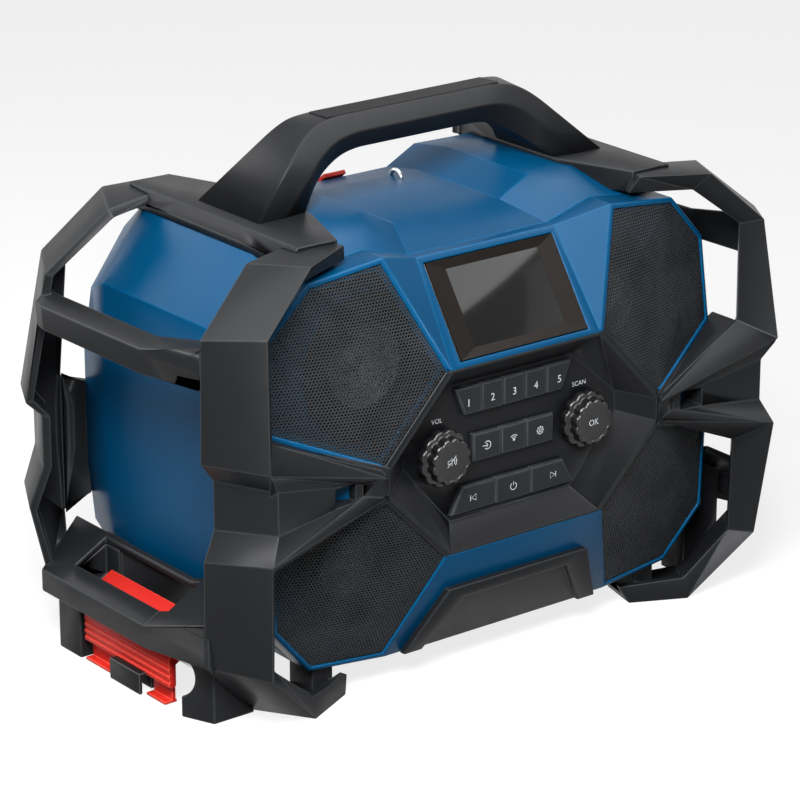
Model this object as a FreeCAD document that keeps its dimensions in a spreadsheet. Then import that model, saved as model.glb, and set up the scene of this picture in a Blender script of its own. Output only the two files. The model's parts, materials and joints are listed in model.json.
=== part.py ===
import FreeCAD, Part
import itertools
import math
import os
import Sketcher
from FreeCAD import Placement, Rotation, Vector

# Jobsite radio with a faceted roll cage, in millimetres.
# +X is the radio's left to right, the front faces -Y, +Z is up.
# The origin is the middle of the footprint, on the surface that it stands on.

doc = FreeCAD.newDocument("jobsite_radio")
sheet = doc.addObject("Spreadsheet::Sheet", "Sizes")

SIZES = {
    # cage, at the sharp ridge that runs round each guard
    "cage_half_width": 220.0,
    "cage_half_depth": 148.0,
    "cage_height": 317.0,
    "corner_high": 279.0,
    "corner_low": 45.0,
    "cage_top_half": 171.0,
    "cage_foot_half": 166.0,
    "cage_inner_half": 127.0,
    "front_post_high": 193.0,
    "front_post_low": 130.0,
    "rear_post_high": 172.0,
    "rear_post_low": 100.0,
    "waist_step": 10.0,
    "waist_rise": 15.0,
    "flare_out": 26.0,
    "flare_back": 40.0,
    "face_in": 18.0,
    "face_back": 23.0,
    "guard_wall": 6.0,
    "foot_bar": 14.0,
    "arm_reach": 17.0,
    "arm_tip": 18.0,
    "arm_recess": 4.0,
    "arm_lip": 3.4,
    "arm_lip_proud": 1.2,
    "rear_flare_in": 5.0,
    # side frames
    "bar_ridge": 254.0,
    "bar_tall": 17.0,
    "bar_thick": 15.0,
    "bar_rise": 15.0,
    "bar_root": 11.0,
    "sill_ridge": 55.0,
    "sill_tall": 16.0,
    "sill_rise": 26.0,
    "sill_wall": 4.5,
    "sill_half": 240.0,
    "sill_inner": 197.0,
    "sill_slope": 24.0,
    "sill_back_wall": 2.5,
    "sill_back_low": 12.0,
    "window_half": 56.0,
    "window_wide": 25.0,
    "window_middle": 18.0,
    "window_edge": 4.0,
    "pad_long": 27.0,
    "pad_spread": 85.0,
    "scallop_radius": 16.0,
    # housing
    "body_half_width": 195.0,
    "body_front": 103.0,
    "body_back": 118.0,
    "side_back": 76.0,
    "side_turn": 82.0,
    "side_full": 50.0,
    "shoulder_drop": 5.0,
    "side_crease": 259.0,
    "shoulder_half": 71.0,
    "crown_step": 6.0,
    "body_split": 84.0,
    "body_wall": 3.5,
    "front_wall": 6.0,
    "nose_depth": 137.0,
    "middle_height": 160.0,
    "side_half_tall": 40.0,
    "body_floor": 21.0,
    "body_top": 317.0,
    "valley_half": 46.0,
    "valley_drop": 13.0,
    "crown_half": 112.0,
    "back_taper": 9.0,
    "back_drop": 34.0,
    # screen
    "screen_half": 62.0,
    "screen_top": 293.0,
    "screen_top_depth": 92.0,
    "screen_bottom": 227.0,
    "lens_margin": 5.0,
    "lens_set": 0.8,
    "lens_thick": 2.0,
    "module_thick": 9.0,
    # console
    "console_half": 118.0,
    "console_foot_half": 65.0,
    "console_bottom": 97.0,
    "console_side": 9.0,
    "console_lip": 6.0,
    "console_edge": 1.5,
    "console_floor": 120.0,
    "console_plate": 3.0,
    "console_back": 112.0,
    "panel_half": 92.0,
    "panel_top_half": 52.0,
    "panel_high": 210.0,
    "panel_low": 113.0,
    # keys
    "key_gap": 0.4,
    "key_proud": 3.5,
    "key_edge": 0.8,
    "key_flange": 1.6,
    "key_slack": 0.3,
    "preset_pitch": 18.8,
    "preset_top": 207.0,
    "preset_tall": 20.0,
    "preset_slant": 8.0,
    "menu_pitch": 22.0,
    "menu_top": 172.0,
    "menu_tall": 20.0,
    "play_pitch": 31.0,
    "play_top": 136.5,
    "play_tall": 19.0,
    "play_slant": 10.0,
    "mat_thick": 1.5,
    "board_thick": 1.6,
    # knobs
    "knob_spread": 62.0,
    "knob_height": 162.0,
    "knob_radius": 20.3,
    "knob_face_radius": 16.4,
    "knob_long": 13.5,
    "knob_gap": 1.4,
    "knob_cap": 2.0,
    "flute_radius": 2.6,
    "shaft_radius": 3.0,
    "sleeve_radius": 4.5,
    "encoder_side": 13.0,
    "running_fit": 0.05,
    # speakers
    "upper_spread": 103.0,
    "upper_height": 227.0,
    "upper_radius": 50.0,
    "lower_spread": 118.0,
    "lower_height": 88.0,
    "lower_radius": 41.0,
    "baffle_front": 92.0,
    "baffle_thick": 4.0,
    "rim_thick": 3.0,
    "rim_wide": 9.0,
    "basket_deep": 30.0,
    "magnet_thick": 13.0,
    "cone_thick": 1.0,
    "grille_set": 1.2,
    "grille_thick": 1.5,
    "grille_rim": 3.5,
    "grille_ledge": 4.0,
    # foot plate under the console
    "arch_half": 61.0,
    "arch_high": 69.0,
    "arch_foot_half": 88.0,
    "arch_wide": 14.0,
    "arch_proud": 6.0,
    # top rails and carrying handle
    "rail_height": 319.5,
    "rail_inner": 106.0,
    "rail_end_inner": 127.0,
    "rail_chamfer": 9.0,
    "rail_broad": 40.0,
    "rail_outer": 165.0,
    "rail_half_long": 96.0,
    "grip_half": 63.0,
    "grip_top": 374.0,
    "grip_low": 347.0,
    "grip_front": 27.0,
    "grip_back": 14.0,
    "handle_half": 148.0,
    "handle_foot_wide": 40.0,
    "handle_foot_front": 38.0,
    "handle_foot_back": 32.0,
    "pad_inset": 1.5,
    # battery bay and door
    "bay_wall": 2.5,
    "bay_front": 34.0,
    "pack_half_width": 38.0,
    "pack_deep": 64.0,
    "pack_tall": 116.0,
    "bay_room": 1.0,
    "terminal_thick": 8.0,
    "door_half": 45.0,
    "door_low": 98.0,
    "door_thick": 4.0,
    "door_edge": 2.0,
    "pin_radius": 2.0,
    "pin_seat": 4.0,
    "pin_fit": 0.06,
    "gap": 0.3,
    "tab_half": 9.5,
    "tab_long": 14.0,
    "tab_proud": 4.0,
    "tab_travel": 3.0,
    # stacking latches
    "lever_middle": 4.0,
    "lever_half": 51.0,
    "lever_pivot_x": 226.0,
    "lever_pivot_z": 36.0,
    "lever_face": 233.0,
    "lever_low": 15.0,
    "lever_wall": 4.0,
    "lever_top_z": 49.0,
    "rib_radius": 1.6,
    "hook_half": 18.0,
    "hook_wall": 2.4,
    "hook_face": 238.0,
    # small parts
    "eye_radius": 6.0,
    "eye_wire": 1.5,
    "screw_spread": 151.0,
    "screw_radius": 2.0,
    "screw_head_radius": 4.0,
    "screw_head": 2.5,
    "screw_long": 14.0,
    "boss_radius": 7.0,
}


def fill_sheet():
    """Write every driving size into the sheet as a number with an alias."""
    for row, (alias, value) in enumerate(SIZES.items(), start=1):
        sheet.set("A%d" % row, alias)
        sheet.set("B%d" % row, str(value))
        sheet.setAlias("B%d" % row, alias)
    doc.recompute()


fill_sheet()


def size(alias):
    """The number that the sheet holds for one alias."""
    return float(sheet.get(alias))


PIECES = []
ALONG_Y = Rotation(Vector(1, 0, 0), -90)
ALONG_X = Rotation(Vector(0, 1, 0), 90)
X_AXIS = Vector(1, 0, 0)
Y_AXIS = Vector(0, 1, 0)
FAR = 400.0
SIDES = (("left", -1), ("right", 1))


def keep(thing, label):
    """Mark an object as one sub-part, named as its file."""
    thing.Label = label
    PIECES.append(thing)
    return thing


def moulded(label, shape):
    """A sub-part whose faceted shape is worked out here from the sheet's sizes."""
    thing = doc.addObject("Part::Feature", label)
    thing.Shape = shape
    thing.Placement = Placement()
    return keep(thing, label)


# Part primitives and booleans, bound to the sheet


def primitive(kind, name, turn=None, **formulas):
    """A Part primitive; X, Y and Z place it, the other formulas are its own sizes."""
    thing = doc.addObject("Part::" + kind, name)
    if turn:
        thing.Placement = Placement(Vector(), turn)
    for key, formula in formulas.items():
        path = "Placement.Base." + key.lower() if key in "XYZ" else key
        thing.setExpression(path, formula)
    return thing


def united(name, pieces):
    thing = doc.addObject("Part::MultiFuse", name)
    thing.Shapes = pieces
    return thing


def cut_from(name, base, tool):
    thing = doc.addObject("Part::Cut", name)
    thing.Base = base
    thing.Tool = tool
    return thing


# PartDesign bodies from sketches whose corners are formulas


def new_body(label):
    return keep(doc.addObject("PartDesign::Body", label), label)


def drawn(body, name, role, corners):
    """A closed outline on one of the body's origin planes, each corner a pair of formulas."""
    sketch = body.newObject("Sketcher::SketchObject", name)
    plane = next(f for f in body.Origin.OriginFeatures if f.Role == role)
    sketch.AttachmentSupport = [(plane, "")]
    sketch.MapMode = "FlatFace"
    for i in range(len(corners)):
        turn = 2 * math.pi * i / len(corners)
        after = 2 * math.pi * (i + 1) / len(corners)
        start = Vector(math.cos(turn), math.sin(turn), 0)
        end = Vector(math.cos(after), math.sin(after), 0)
        sketch.addGeometry(Part.LineSegment(start, end), False)
    for i in range(len(corners)):
        sketch.addConstraint(Sketcher.Constraint("Coincident", i, 2, (i + 1) % len(corners), 1))
    for i, pair in enumerate(corners):
        for kind, formula in zip(("DistanceX", "DistanceY"), pair):
            number = sketch.addConstraint(Sketcher.Constraint(kind, -1, 1, i, 1, 1.0))
            sketch.setExpression("Constraints[%d]" % number, formula)
    return sketch


def pad(body, name, sketch, depth):
    feature = body.newObject("PartDesign::Pad", name)
    feature.Profile = sketch
    feature.setExpression("Length", depth)
    return feature


# Faceted forms


def flat_face(corners):
    return Part.Face(Part.makePolygon(list(corners) + [corners[0]]))


def lies_flat(corners, slack=1e-6):
    """True where all the corners are in one plane."""
    first = corners[0]
    normal = (corners[1] - first).cross(corners[2] - first)
    if normal.Length < slack:
        return False
    normal.normalize()
    return all(abs(normal.dot(point - first)) < slack for point in corners)


def panel(corners):
    """One face over four corners, or two triangles on their shorter diagonal where they aren't flat."""
    if lies_flat(corners):
        return [flat_face(corners)]
    a, b, c, d = corners
    if a.distanceToPoint(c) <= b.distanceToPoint(d):
        return [flat_face([a, b, c]), flat_face([a, c, d])]
    return [flat_face([a, b, d]), flat_face([b, c, d])]


def closed(faces):
    """A solid from faces that meet all round, with its outside outwards."""
    solid = Part.makeSolid(Part.makeShell(faces))
    if solid.Volume < 0:
        solid.reverse()
    return solid


def skin(sections):
    """A solid through a row of corner lists with as many corners each."""
    faces = []
    for near, far in zip(sections, sections[1:]):
        for i in range(len(near)):
            j = (i + 1) % len(near)
            faces += panel([near[i], near[j], far[j], far[i]])
    for cap in (sections[0], sections[-1]):
        if lies_flat(cap):
            faces.append(flat_face(cap))
            continue
        middle = sum(cap, Vector()) * (1.0 / len(cap))
        faces += [flat_face([middle, a, b]) for a, b in zip(cap, cap[1:] + cap[:1])]
    return closed(faces)


def block(corners):
    """The convex solid whose corners are the given points."""
    faces = []
    seen = []
    for trio in itertools.combinations(range(len(corners)), 3):
        first, second, third = (corners[i] for i in trio)
        normal = (second - first).cross(third - first)
        if normal.Length < 1e-6:
            continue
        normal.normalize()
        heights = [normal.dot(point - first) for point in corners]
        if min(heights) < -1e-6 and max(heights) > 1e-6:
            continue
        ring = frozenset(i for i, height in enumerate(heights) if abs(height) < 1e-6)
        if ring in seen:
            continue
        seen.append(ring)
        members = [corners[i] for i in ring]
        middle = sum(members, Vector()) * (1.0 / len(members))
        across = (members[0] - middle).normalize()
        along = normal.cross(across)
        members.sort(key=lambda p: math.atan2((p - middle).dot(along), (p - middle).dot(across)))
        faces.append(flat_face(members))
    return closed(faces)


def crate(low, high):
    """A plain block between two opposite corners."""
    span = Vector(*high) - Vector(*low)
    return Part.makeBox(span.x, span.y, span.z, Vector(*low))


def flipped(shape, axis):
    """The shape mirrored through the origin across one axis."""
    return shape.mirror(Vector(), axis)


def on_side(shape, side):
    """The right-hand shape for side 1, its mirror image for side -1."""
    return shape if side > 0 else flipped(shape, X_AXIS)


def biggest(shape):
    return max(shape.Solids, key=lambda solid: solid.Volume)


def prism(corners, start, end):
    """A solid along Y over an outline of (x, z) pairs."""
    near = [Vector(x, start, z) for x, z in corners]
    return flat_face(near).extrude(Vector(0, end - start, 0))


def both_halves(pairs):
    """Right-hand (x, z) pairs from top to bottom, closed with their mirror image."""
    return pairs + [(-x, z) for x, z in reversed(pairs)]


def drawn_in(pairs, margin):
    """A convex outline with every edge moved inwards by a margin."""
    count = len(pairs)
    centre = (sum(x for x, z in pairs) / count, sum(z for x, z in pairs) / count)
    lines = []
    for (ax, az), (bx, bz) in zip(pairs, pairs[1:] + pairs[:1]):
        length = math.hypot(bx - ax, bz - az)
        nx, nz = (az - bz) / length, (bx - ax) / length
        if nx * (centre[0] - ax) + nz * (centre[1] - az) < 0:
            nx, nz = -nx, -nz
        lines.append((nx, nz, nx * ax + nz * az + margin))
    corners = []
    for (a, b, c), (d, e, f) in zip(lines[-1:] + lines[:-1], lines):
        spread = a * e - b * d
        corners.append(((c * e - b * f) / spread, (a * f - c * d) / spread))
    return corners


# Front of the housing: flat facets between named corner points


def front_corners(inset=0.0, shift=0.0):
    """Corner points of the faceted front, drawn in by inset and moved back by shift."""
    wide, rim, nose = size("body_half_width"), size("body_front"), size("nose_depth")
    middle, side, tall = size("middle_height"), size("console_side"), size("side_half_tall")
    high, low = size("body_top") - 13, size("body_floor")
    points = {
        "screen_top": (size("screen_half") - 2, -size("screen_top_depth"), size("screen_top")),
        "screen_low": (size("screen_half") + 2, -nose, size("screen_bottom")),
        "top_inner": (wide - 97, -rim - 3, high),
        "top_outer": (wide - 38, -rim, high - 7),
        "side_top": (wide - 6, -rim + 3, high - 41),
        "side_upper": (wide, -rim, middle + tall),
        "vertex_upper": (size("console_half"), -nose, middle + side),
        "vertex_lower": (size("console_half"), -nose, middle - side),
        "side_lower": (wide, -rim, middle - tall),
        "side_low": (wide - 5, -rim - 3, low + 41),
        "low_outer": (wide - 37, -rim, low + 5),
        "low_inner": (wide - 98, -rim - 3, low),
        "console_low": (size("console_foot_half"), -nose, size("console_bottom")),
    }
    centre = (high + low) / 2
    flat = 1 - inset / wide
    squat = 1 - 2 * inset / (high - low)
    return {
        name: (x * flat, y + shift, centre + (z - centre) * squat)
        for name, (x, y, z) in points.items()
    }


RIM = ["screen_top", "top_inner", "top_outer", "side_top", "side_upper",
       "side_lower", "side_low", "low_outer", "low_inner"]
FRONT_FACETS = [
    ["screen_top", "top_inner", "screen_low"],
    ["top_inner", "top_outer", "screen_low"],
    ["top_outer", "vertex_upper", "screen_low"],
    ["top_outer", "side_top", "vertex_upper"],
    ["side_top", "side_upper", "vertex_upper"],
    ["side_upper", "side_lower", "vertex_lower", "vertex_upper"],
    ["vertex_lower", "side_lower", "side_low"],
    ["vertex_lower", "side_low", "low_outer"],
    ["vertex_lower", "low_outer", "console_low"],
    ["console_low", "low_outer", "low_inner"],
]
UPPER_GRILLE = ["screen_low", "top_inner", "top_outer", "side_top", "side_upper", "vertex_upper"]
LOWER_GRILLE = ["vertex_lower", "side_lower", "side_low", "low_outer", "low_inner", "console_low"]
CONSOLE = ["screen_low", "vertex_upper", "vertex_lower", "console_low"]
GRILLES = (("upper", UPPER_GRILLE), ("lower", LOWER_GRILLE))


def front_form(inset=0.0, shift=0.0, back=None):
    """The faceted front as one solid, closed flat at the plane where the housings meet."""
    back = -size("body_split") if back is None else back
    numbers = front_corners(inset, shift)
    right = {name: Vector(x, y, z) for name, (x, y, z) in numbers.items()}
    left = {name: Vector(-x, y, z) for name, (x, y, z) in numbers.items()}
    faces = []
    for points in (right, left):
        for facet in FRONT_FACETS:
            faces += panel([points[n] for n in facet]) if len(facet) > 3 else [
                flat_face([points[n] for n in facet])]
        for a, b in zip(RIM, RIM[1:]):
            far_a, far_b = (Vector(points[n].x, back, points[n].z) for n in (a, b))
            faces += panel([points[a], points[b], far_b, far_a])
    for a, b in (("screen_top", "screen_low"), ("console_low", "low_inner")):
        faces += panel([right[a], left[a], left[b], right[b]])
    faces.append(flat_face([right[n] for n in CONSOLE] + [left[n] for n in reversed(CONSOLE)]))
    for name in ("screen_top", "low_inner"):
        near = [right[name], left[name]]
        faces += panel(near + [Vector(p.x, back, p.z) for p in reversed(near)])
    rim = [Vector(right[name].x, back, right[name].z) for name in RIM]
    faces.append(flat_face(rim + [Vector(-p.x, p.y, p.z) for p in reversed(rim)]))
    return closed(faces)


def outline(names, margin=0.0, side=1):
    """Front view of a facet group as (x, z) pairs, drawn in by a margin."""
    points = front_corners()
    pairs = [(points[name][0], points[name][2]) for name in names]
    if margin:
        pairs = drawn_in(pairs, margin)
    return [(side * x, z) for x, z in pairs]


def console_outline(lip=0.0):
    points = front_corners()
    return both_halves([(points[name][0] + lip, points[name][2]) for name in CONSOLE])


# Rear of the housing: sections along Y from the same rim


def hull_section(depth, inset=0.0):
    """Cross-section of the rear housing at one depth."""
    rim = front_corners()
    wide, top, back = size("body_half_width"), size("body_top"), size("body_back")
    fall = max(0.0, (depth - size("side_back")) / (back - size("side_back")))
    turn = max(0.0, (depth - size("side_turn")) / (back - size("side_turn")))
    taper = 1 - size("back_taper") * turn / wide
    drop = size("back_drop") * fall
    if depth <= -size("body_split"):
        start, inner = rim["screen_top"], rim["top_inner"]
        pairs = [(start[0], start[2]), ((start[0] + inner[0]) / 2, (start[2] + inner[2]) / 2)]
        pairs += [(rim[name][0], rim[name][2]) for name in ("top_inner", "top_outer", "side_top")]
    else:
        crown = top - drop - (size("crown_step") if depth >= size("side_back") else 0)
        pairs = [(size("valley_half"), crown - size("valley_drop")), (size("shoulder_half"), crown)]
        pairs += [(size("crown_half") * taper, crown - 1)]
        pairs += [(rim["top_outer"][0] * taper, top - size("shoulder_drop") - drop * 0.9)]
        pairs += [(wide * taper - 7 * turn, size("side_crease") - drop * 0.5)]
    pairs += [(rim[name][0] * taper, rim[name][2] + drop * share) for name, share in (
        ("side_upper", 0), ("side_lower", 0), ("side_low", 0.3), ("low_outer", 0.5),
        ("low_inner", 0.5))]
    low = size("body_floor")
    centre = (top + low) / 2
    squat = 1 - 2 * inset / (top - low)
    pairs = [(x * (1 - inset / wide), centre + (z - centre) * squat) for x, z in pairs]
    return [Vector(x, depth, z) for x, z in both_halves(pairs)]


def hull_form(inset=0.0, start=None, end=None):
    """The rear housing's outside, or its inside where inset is the wall."""
    start = -size("body_split") if start is None else start
    end = size("body_back") if end is None else end
    depths = [start, -size("side_full"), 40.0, size("side_back"), size("side_turn"), end]
    return skin([hull_section(depth, inset) for depth in depths])


FORMS = {}


def whole_hull():
    """Front and rear forms, which the cage pieces are fitted against."""
    if not FORMS:
        FORMS["front"] = front_form()
        FORMS["rear"] = hull_form()
    return [FORMS["front"], FORMS["rear"]]


def clear_of_hull(shape):
    for form in whole_hull():
        shape = shape.cut(form)
    return biggest(shape)


def front_layer(start, thick):
    """The part of the front between two depths under its surface."""
    deeper = front_form(0, start + thick, -size("body_split") + 1)
    base = front_form(0, start) if start else whole_hull()[0]
    return base.cut(deeper)


def grille_pockets():
    """What the four grilles need: a shallow seat each, and a way through inside its ledge."""
    rim, ledge = size("grille_rim"), size("grille_ledge")
    seat = front_layer(0, size("grille_set") + size("grille_thick"))
    tools = []
    for _, names in GRILLES:
        for _, side in SIDES:
            tools.append(seat.common(prism(outline(names, rim, side), -FAR, -size("body_split") - 2)))
            tools.append(prism(outline(names, rim + ledge, side), -FAR, -size("body_split") - 2))
    return tools


def screen_block(half, start, end):
    """A block square to the tilted screen between two depths under it."""
    points = front_corners()
    top, low = (Vector(0, *points[name][1:]) for name in ("screen_top", "screen_low"))
    down = (low - top).normalize()
    inward = Vector(0, -down.z, down.y)
    margin = size("screen_half") - 2 - half
    near, far = top + down * margin, low - down * margin
    return block([
        point + Vector(x, 0, 0) + inward * depth
        for x in (-half, half) for point in (near, far) for depth in (start, end)
    ])


def make_front_housing():
    wall, thick = size("body_wall"), size("front_wall")
    shell = whole_hull()[0].cut(front_form(wall, thick, -size("body_split") + 1))
    for tool in grille_pockets():
        shell = shell.cut(tool)
    shell = shell.cut(prism(console_outline(size("console_lip")), -FAR, -size("console_back")))
    shell = shell.cut(screen_block(lens_half() + size("gap"), -5, size("module_thick") + 6))
    moulded("front_housing", biggest(shell))


def lens_half():
    return size("screen_half") - 2 - size("lens_margin")


def make_screen():
    start = size("lens_set")
    middle = start + size("lens_thick")
    moulded("display_lens", screen_block(lens_half(), start, middle))
    moulded("display_module", screen_block(lens_half() - 3, middle, middle + size("module_thick")))


def make_grilles():
    """Four faceted grille panels that follow the creases of the front."""
    layer = front_layer(size("grille_set"), size("grille_thick"))
    for level, names in GRILLES:
        for end, side in SIDES:
            edge = outline(names, size("grille_rim") + size("gap"), side)
            panel_shape = layer.common(prism(edge, -FAR, -size("body_split") - 2))
            moulded("grille_%s_%s" % (level, end), biggest(panel_shape))


def bay_span(grow=0.0):
    """Low and high corners of the battery bay's inside, grown by a wall."""
    half = size("door_half") + size("gap") + grow
    floor = size("door_low") + size("door_thick") - size("gap")
    top = floor + size("pack_tall") + size("bay_room")
    return (-half, size("bay_front") + size("bay_wall") - grow, floor - grow), (half, FAR, top + grow)


def door_axis():
    """Depth and height of the battery door's hinge."""
    return size("body_back") - size("door_thick"), size("door_low") + size("door_thick")


def make_rear_housing():
    wall = size("body_wall")
    back = size("body_back")
    hull = whole_hull()[1]
    inside = hull_form(wall, -size("body_split") - 0.01, back - wall)
    shell = hull.cut(inside)
    bay_outer = crate(*bay_span(size("bay_wall")))
    bay_inner = crate(*bay_span())
    half = size("door_half") + size("gap")
    sunk = size("door_thick") + size("gap")
    edge = size("side_back") + size("door_edge") - size("gap")
    under = hull_form(sunk, -size("body_split"), back - sunk)
    deeper = hull_form(sunk + size("bay_wall"), -size("body_split") - 1, back - sunk - size("bay_wall"))
    seat = under.cut(deeper).common(crate((-half - 3, edge - 4, bay_outer.BoundBox.ZMax - 3),
                                          (half + 3, FAR, FAR)))
    shell = shell.fuse(bay_outer.common(hull)).fuse(seat)
    shell = shell.cut(bay_inner)
    opening = crate((-half, edge, size("door_low") - size("gap")), (half, FAR, FAR))
    shell = shell.cut(opening.cut(under))
    y, z = door_axis()
    radius = size("door_thick") + size("gap")
    shell = shell.cut(Part.makeCylinder(radius, 2 * half, Vector(-half, y, z), X_AXIS))
    long = half + size("bay_wall")
    shell = shell.cut(Part.makeCylinder(size("pin_radius"), 2 * long, Vector(-long, y, z), X_AXIS))
    for x, z in screw_places():
        head = Part.makeCylinder(size("screw_head_radius") + size("gap"), size("screw_head"),
                                 Vector(x, back - size("screw_head"), z), Y_AXIS)
        shank = Part.makeCylinder(size("screw_radius"), size("screw_long"),
                                  Vector(x, back - size("screw_head") - size("screw_long"), z), Y_AXIS)
        boss = Part.makeCylinder(size("boss_radius"), size("screw_long") + size("screw_head") - 0.5,
                                 Vector(x, back - size("screw_long") - size("screw_head"), z), Y_AXIS)
        shell = shell.fuse(boss.common(hull)).cut(head).cut(shank)
    moulded("rear_housing", biggest(shell))


def screw_places():
    """Centres of the six screws on the back, as (x, z) pairs."""
    half = size("screw_spread")
    low, high = size("body_floor") + 48, size("body_top") - size("back_drop") - 48
    middle = size("middle_height")
    return [(side * half, z) for side in (-1, 1) for z in (low, middle, high)]


def make_housing_screws():
    """Six countersunk screws that hold the back of the housing, one group."""
    links = []
    for i, (x, z) in enumerate(screw_places()):
        base = "Sizes.body_back - Sizes.screw_head"
        half = "Sizes.screw_spread"
        height = ("Sizes.body_floor + 48", "Sizes.middle_height",
                  "Sizes.body_top - Sizes.back_drop - 48")[i % 3]
        side = half if x > 0 else "-" + half
        head = primitive("Cone", "ScrewHead%d" % i, ALONG_Y, Radius1="Sizes.screw_radius",
                         Radius2="Sizes.screw_head_radius", Height="Sizes.screw_head",
                         X=side, Y=base, Z=height)
        shank = primitive("Cylinder", "ScrewShank%d" % i, ALONG_Y, Radius="Sizes.screw_radius",
                          Height="Sizes.screw_long", X=side, Y=base + " - Sizes.screw_long", Z=height)
        links.append(united("Screw%d" % i, [head, shank]))
    group = doc.addObject("Part::Compound", "housing_screws")
    group.Links = links
    keep(group, "housing_screws")


def make_baffle():
    """Plate across the front housing that carries the four speakers."""
    wall, gap = size("body_wall"), size("gap")
    start = -size("baffle_front")
    slab = crate((-FAR, start, 0), (FAR, start + size("baffle_thick"), FAR))
    plate = front_form(wall + gap, size("front_wall") + gap, -size("body_split")).common(slab)
    for x, z, radius in speaker_places():
        hole = radius - size("rim_wide") + gap
        plate = plate.cut(Part.makeCylinder(hole, FAR, Vector(x, -FAR / 2, z), Y_AXIS))
    depth = size("lens_set") + size("lens_thick") + size("module_thick") + gap
    plate = plate.cut(screen_block(lens_half() - 3 + gap, 0, depth))
    moulded("speaker_baffle", biggest(plate))


def speaker_places():
    """Centre and radius of each speaker."""
    return [
        (side * size(level + "_spread"), size(level + "_height"), size(level + "_radius"))
        for level in ("upper", "lower") for side in (-1, 1)
    ]


def make_speakers():
    for level in ("upper", "lower"):
        for end, side in SIDES:
            make_speaker(level, end, side)


def make_speaker(level, end, side):
    """Pressed basket with its rim and magnet, and the cone inside it."""
    name = "%s_%s" % (level, end)
    radius = "Sizes.%s_radius" % level
    hole = radius + " - Sizes.rim_wide"
    place = {"X": "%d * Sizes.%s_spread" % (side, level), "Z": "Sizes.%s_height" % level}
    seat = "-Sizes.baffle_front"
    rim = primitive("Cylinder", "Rim_" + name, ALONG_Y, Radius=radius, Height="Sizes.rim_thick",
                    Y=seat + " - Sizes.rim_thick", **place)
    basket = primitive("Cone", "Basket_" + name, ALONG_Y, Radius1=hole, Radius2=hole + " - 14",
                       Height="Sizes.basket_deep", Y=seat, **place)
    magnet = primitive("Cylinder", "Magnet_" + name, ALONG_Y, Radius=hole + " - 12",
                       Height="Sizes.magnet_thick", Y=seat + " + Sizes.basket_deep", **place)
    hollow = primitive("Cone", "Hollow_" + name, ALONG_Y, Radius1=hole + " - 2",
                       Radius2=hole + " - 17", Height="Sizes.basket_deep + Sizes.rim_thick - 2",
                       Y=seat + " - Sizes.rim_thick", **place)
    solid = united("Frame_" + name, [rim, basket, magnet])
    keep(cut_from("speaker_frame_" + name, solid, hollow), "speaker_frame_" + name)
    body = new_body("speaker_cone_" + name)
    edge = "%s - Sizes.rim_wide - 4.4" % radius
    deep = edge + " - 21"
    profile = drawn(body, "Profile", "YZ_Plane", [
        ("1", "0"), ("0", "9"), (deep, "14"), ("1", edge + " - 8"), ("-1.5", edge + " - 4"),
        ("0", edge), ("Sizes.cone_thick", edge), ("-0.5 + Sizes.cone_thick", edge + " - 4"),
        ("1 + Sizes.cone_thick", edge + " - 8"), (deep + " + 1 + Sizes.cone_thick", "13"),
        ("1 + Sizes.cone_thick", "9"), ("2 + Sizes.cone_thick", "0")])
    turned = body.newObject("PartDesign::Revolution", "Turned")
    turned.Profile = profile
    turned.ReferenceAxis = (profile, ["H_Axis"])
    turned.Angle = 360
    for key, formula in (("x", place["X"]), ("y", seat), ("z", place["Z"])):
        body.setExpression("Placement.Base." + key, formula)


# Guards at the four corners of the cage


def front_stations():
    """Ridge point, step to the inner edge and step to the outer edge at each bend."""
    wide, deep, high = size("cage_half_width"), size("cage_half_depth"), size("cage_height")
    out, back = size("flare_out"), size("flare_back")
    step, rise = size("waist_step"), size("waist_rise")
    middle = size("middle_height") + 3
    inward, inback = size("face_in"), size("face_back")
    bar = size("foot_bar")
    return [
        [(size("cage_inner_half"), 45 - deep, high), (-5, 6, -12), (8, 28, 1)],
        [(size("cage_top_half"), 21 - deep, high), (-4, 14, -14), (out - 4, back, -3)],
        [(wide - 7, 11 - deep, size("corner_high")), (-11, 13, -4), (out, back - 3, -4)],
        [(wide, -deep, size("front_post_high")), (-inward, inback, 11), (out, back, 2)],
        [(wide - step, 6 - deep, middle + rise), (-inward, inback, 0), (out - 3, back - 1, 2)],
        [(wide - step, 6 - deep, middle - rise), (-inward, inback, 0), (out - 3, back - 1, -2)],
        [(wide - 1, -deep, size("front_post_low")), (-inward, inback, -15), (out, back, -2)],
        [(wide - 7, 10 - deep, size("corner_low")), (-12, 15, 0), (out, back, 4)],
        [(size("cage_foot_half"), 27 - deep, 0), (-1, 4, bar + 1), (out, back, 0)],
        [(size("cage_inner_half"), 46 - deep, 0), (-5, 5, bar - 2), (8, 32, 0)],
    ]


def rear_stations():
    """The rear guard's bends, drawn at the front: a longer slope and a lower waist."""
    stations = front_stations()
    wide, deep, step = size("cage_half_width"), size("cage_half_depth"), size("waist_step")
    top, low = size("rear_post_high"), size("rear_post_low")
    stations[1][0] = (size("cage_top_half") + 4, 42 - deep, size("cage_height"))
    stations[2][0] = (wide - 4, 27 - deep, size("corner_high") - 3)
    stations[3][0] = (wide, -deep, top)
    stations[4][0] = (wide - step + 3, 5 - deep, top - 10)
    stations[5][0] = (wide - step + 3, 5 - deep, low + 29)
    stations[6][0] = (wide, -deep, low)
    for station in stations[2:9]:
        out, back, rise = station[2]
        station[2] = (out - size("rear_flare_in"), back, rise)
    return stations


def edge_point(station, part):
    """A point of one bend: its ridge, its inner edge or its outer edge."""
    ridge = Vector(*station[0])
    return ridge + Vector(*station[part]) if part else ridge


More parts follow.
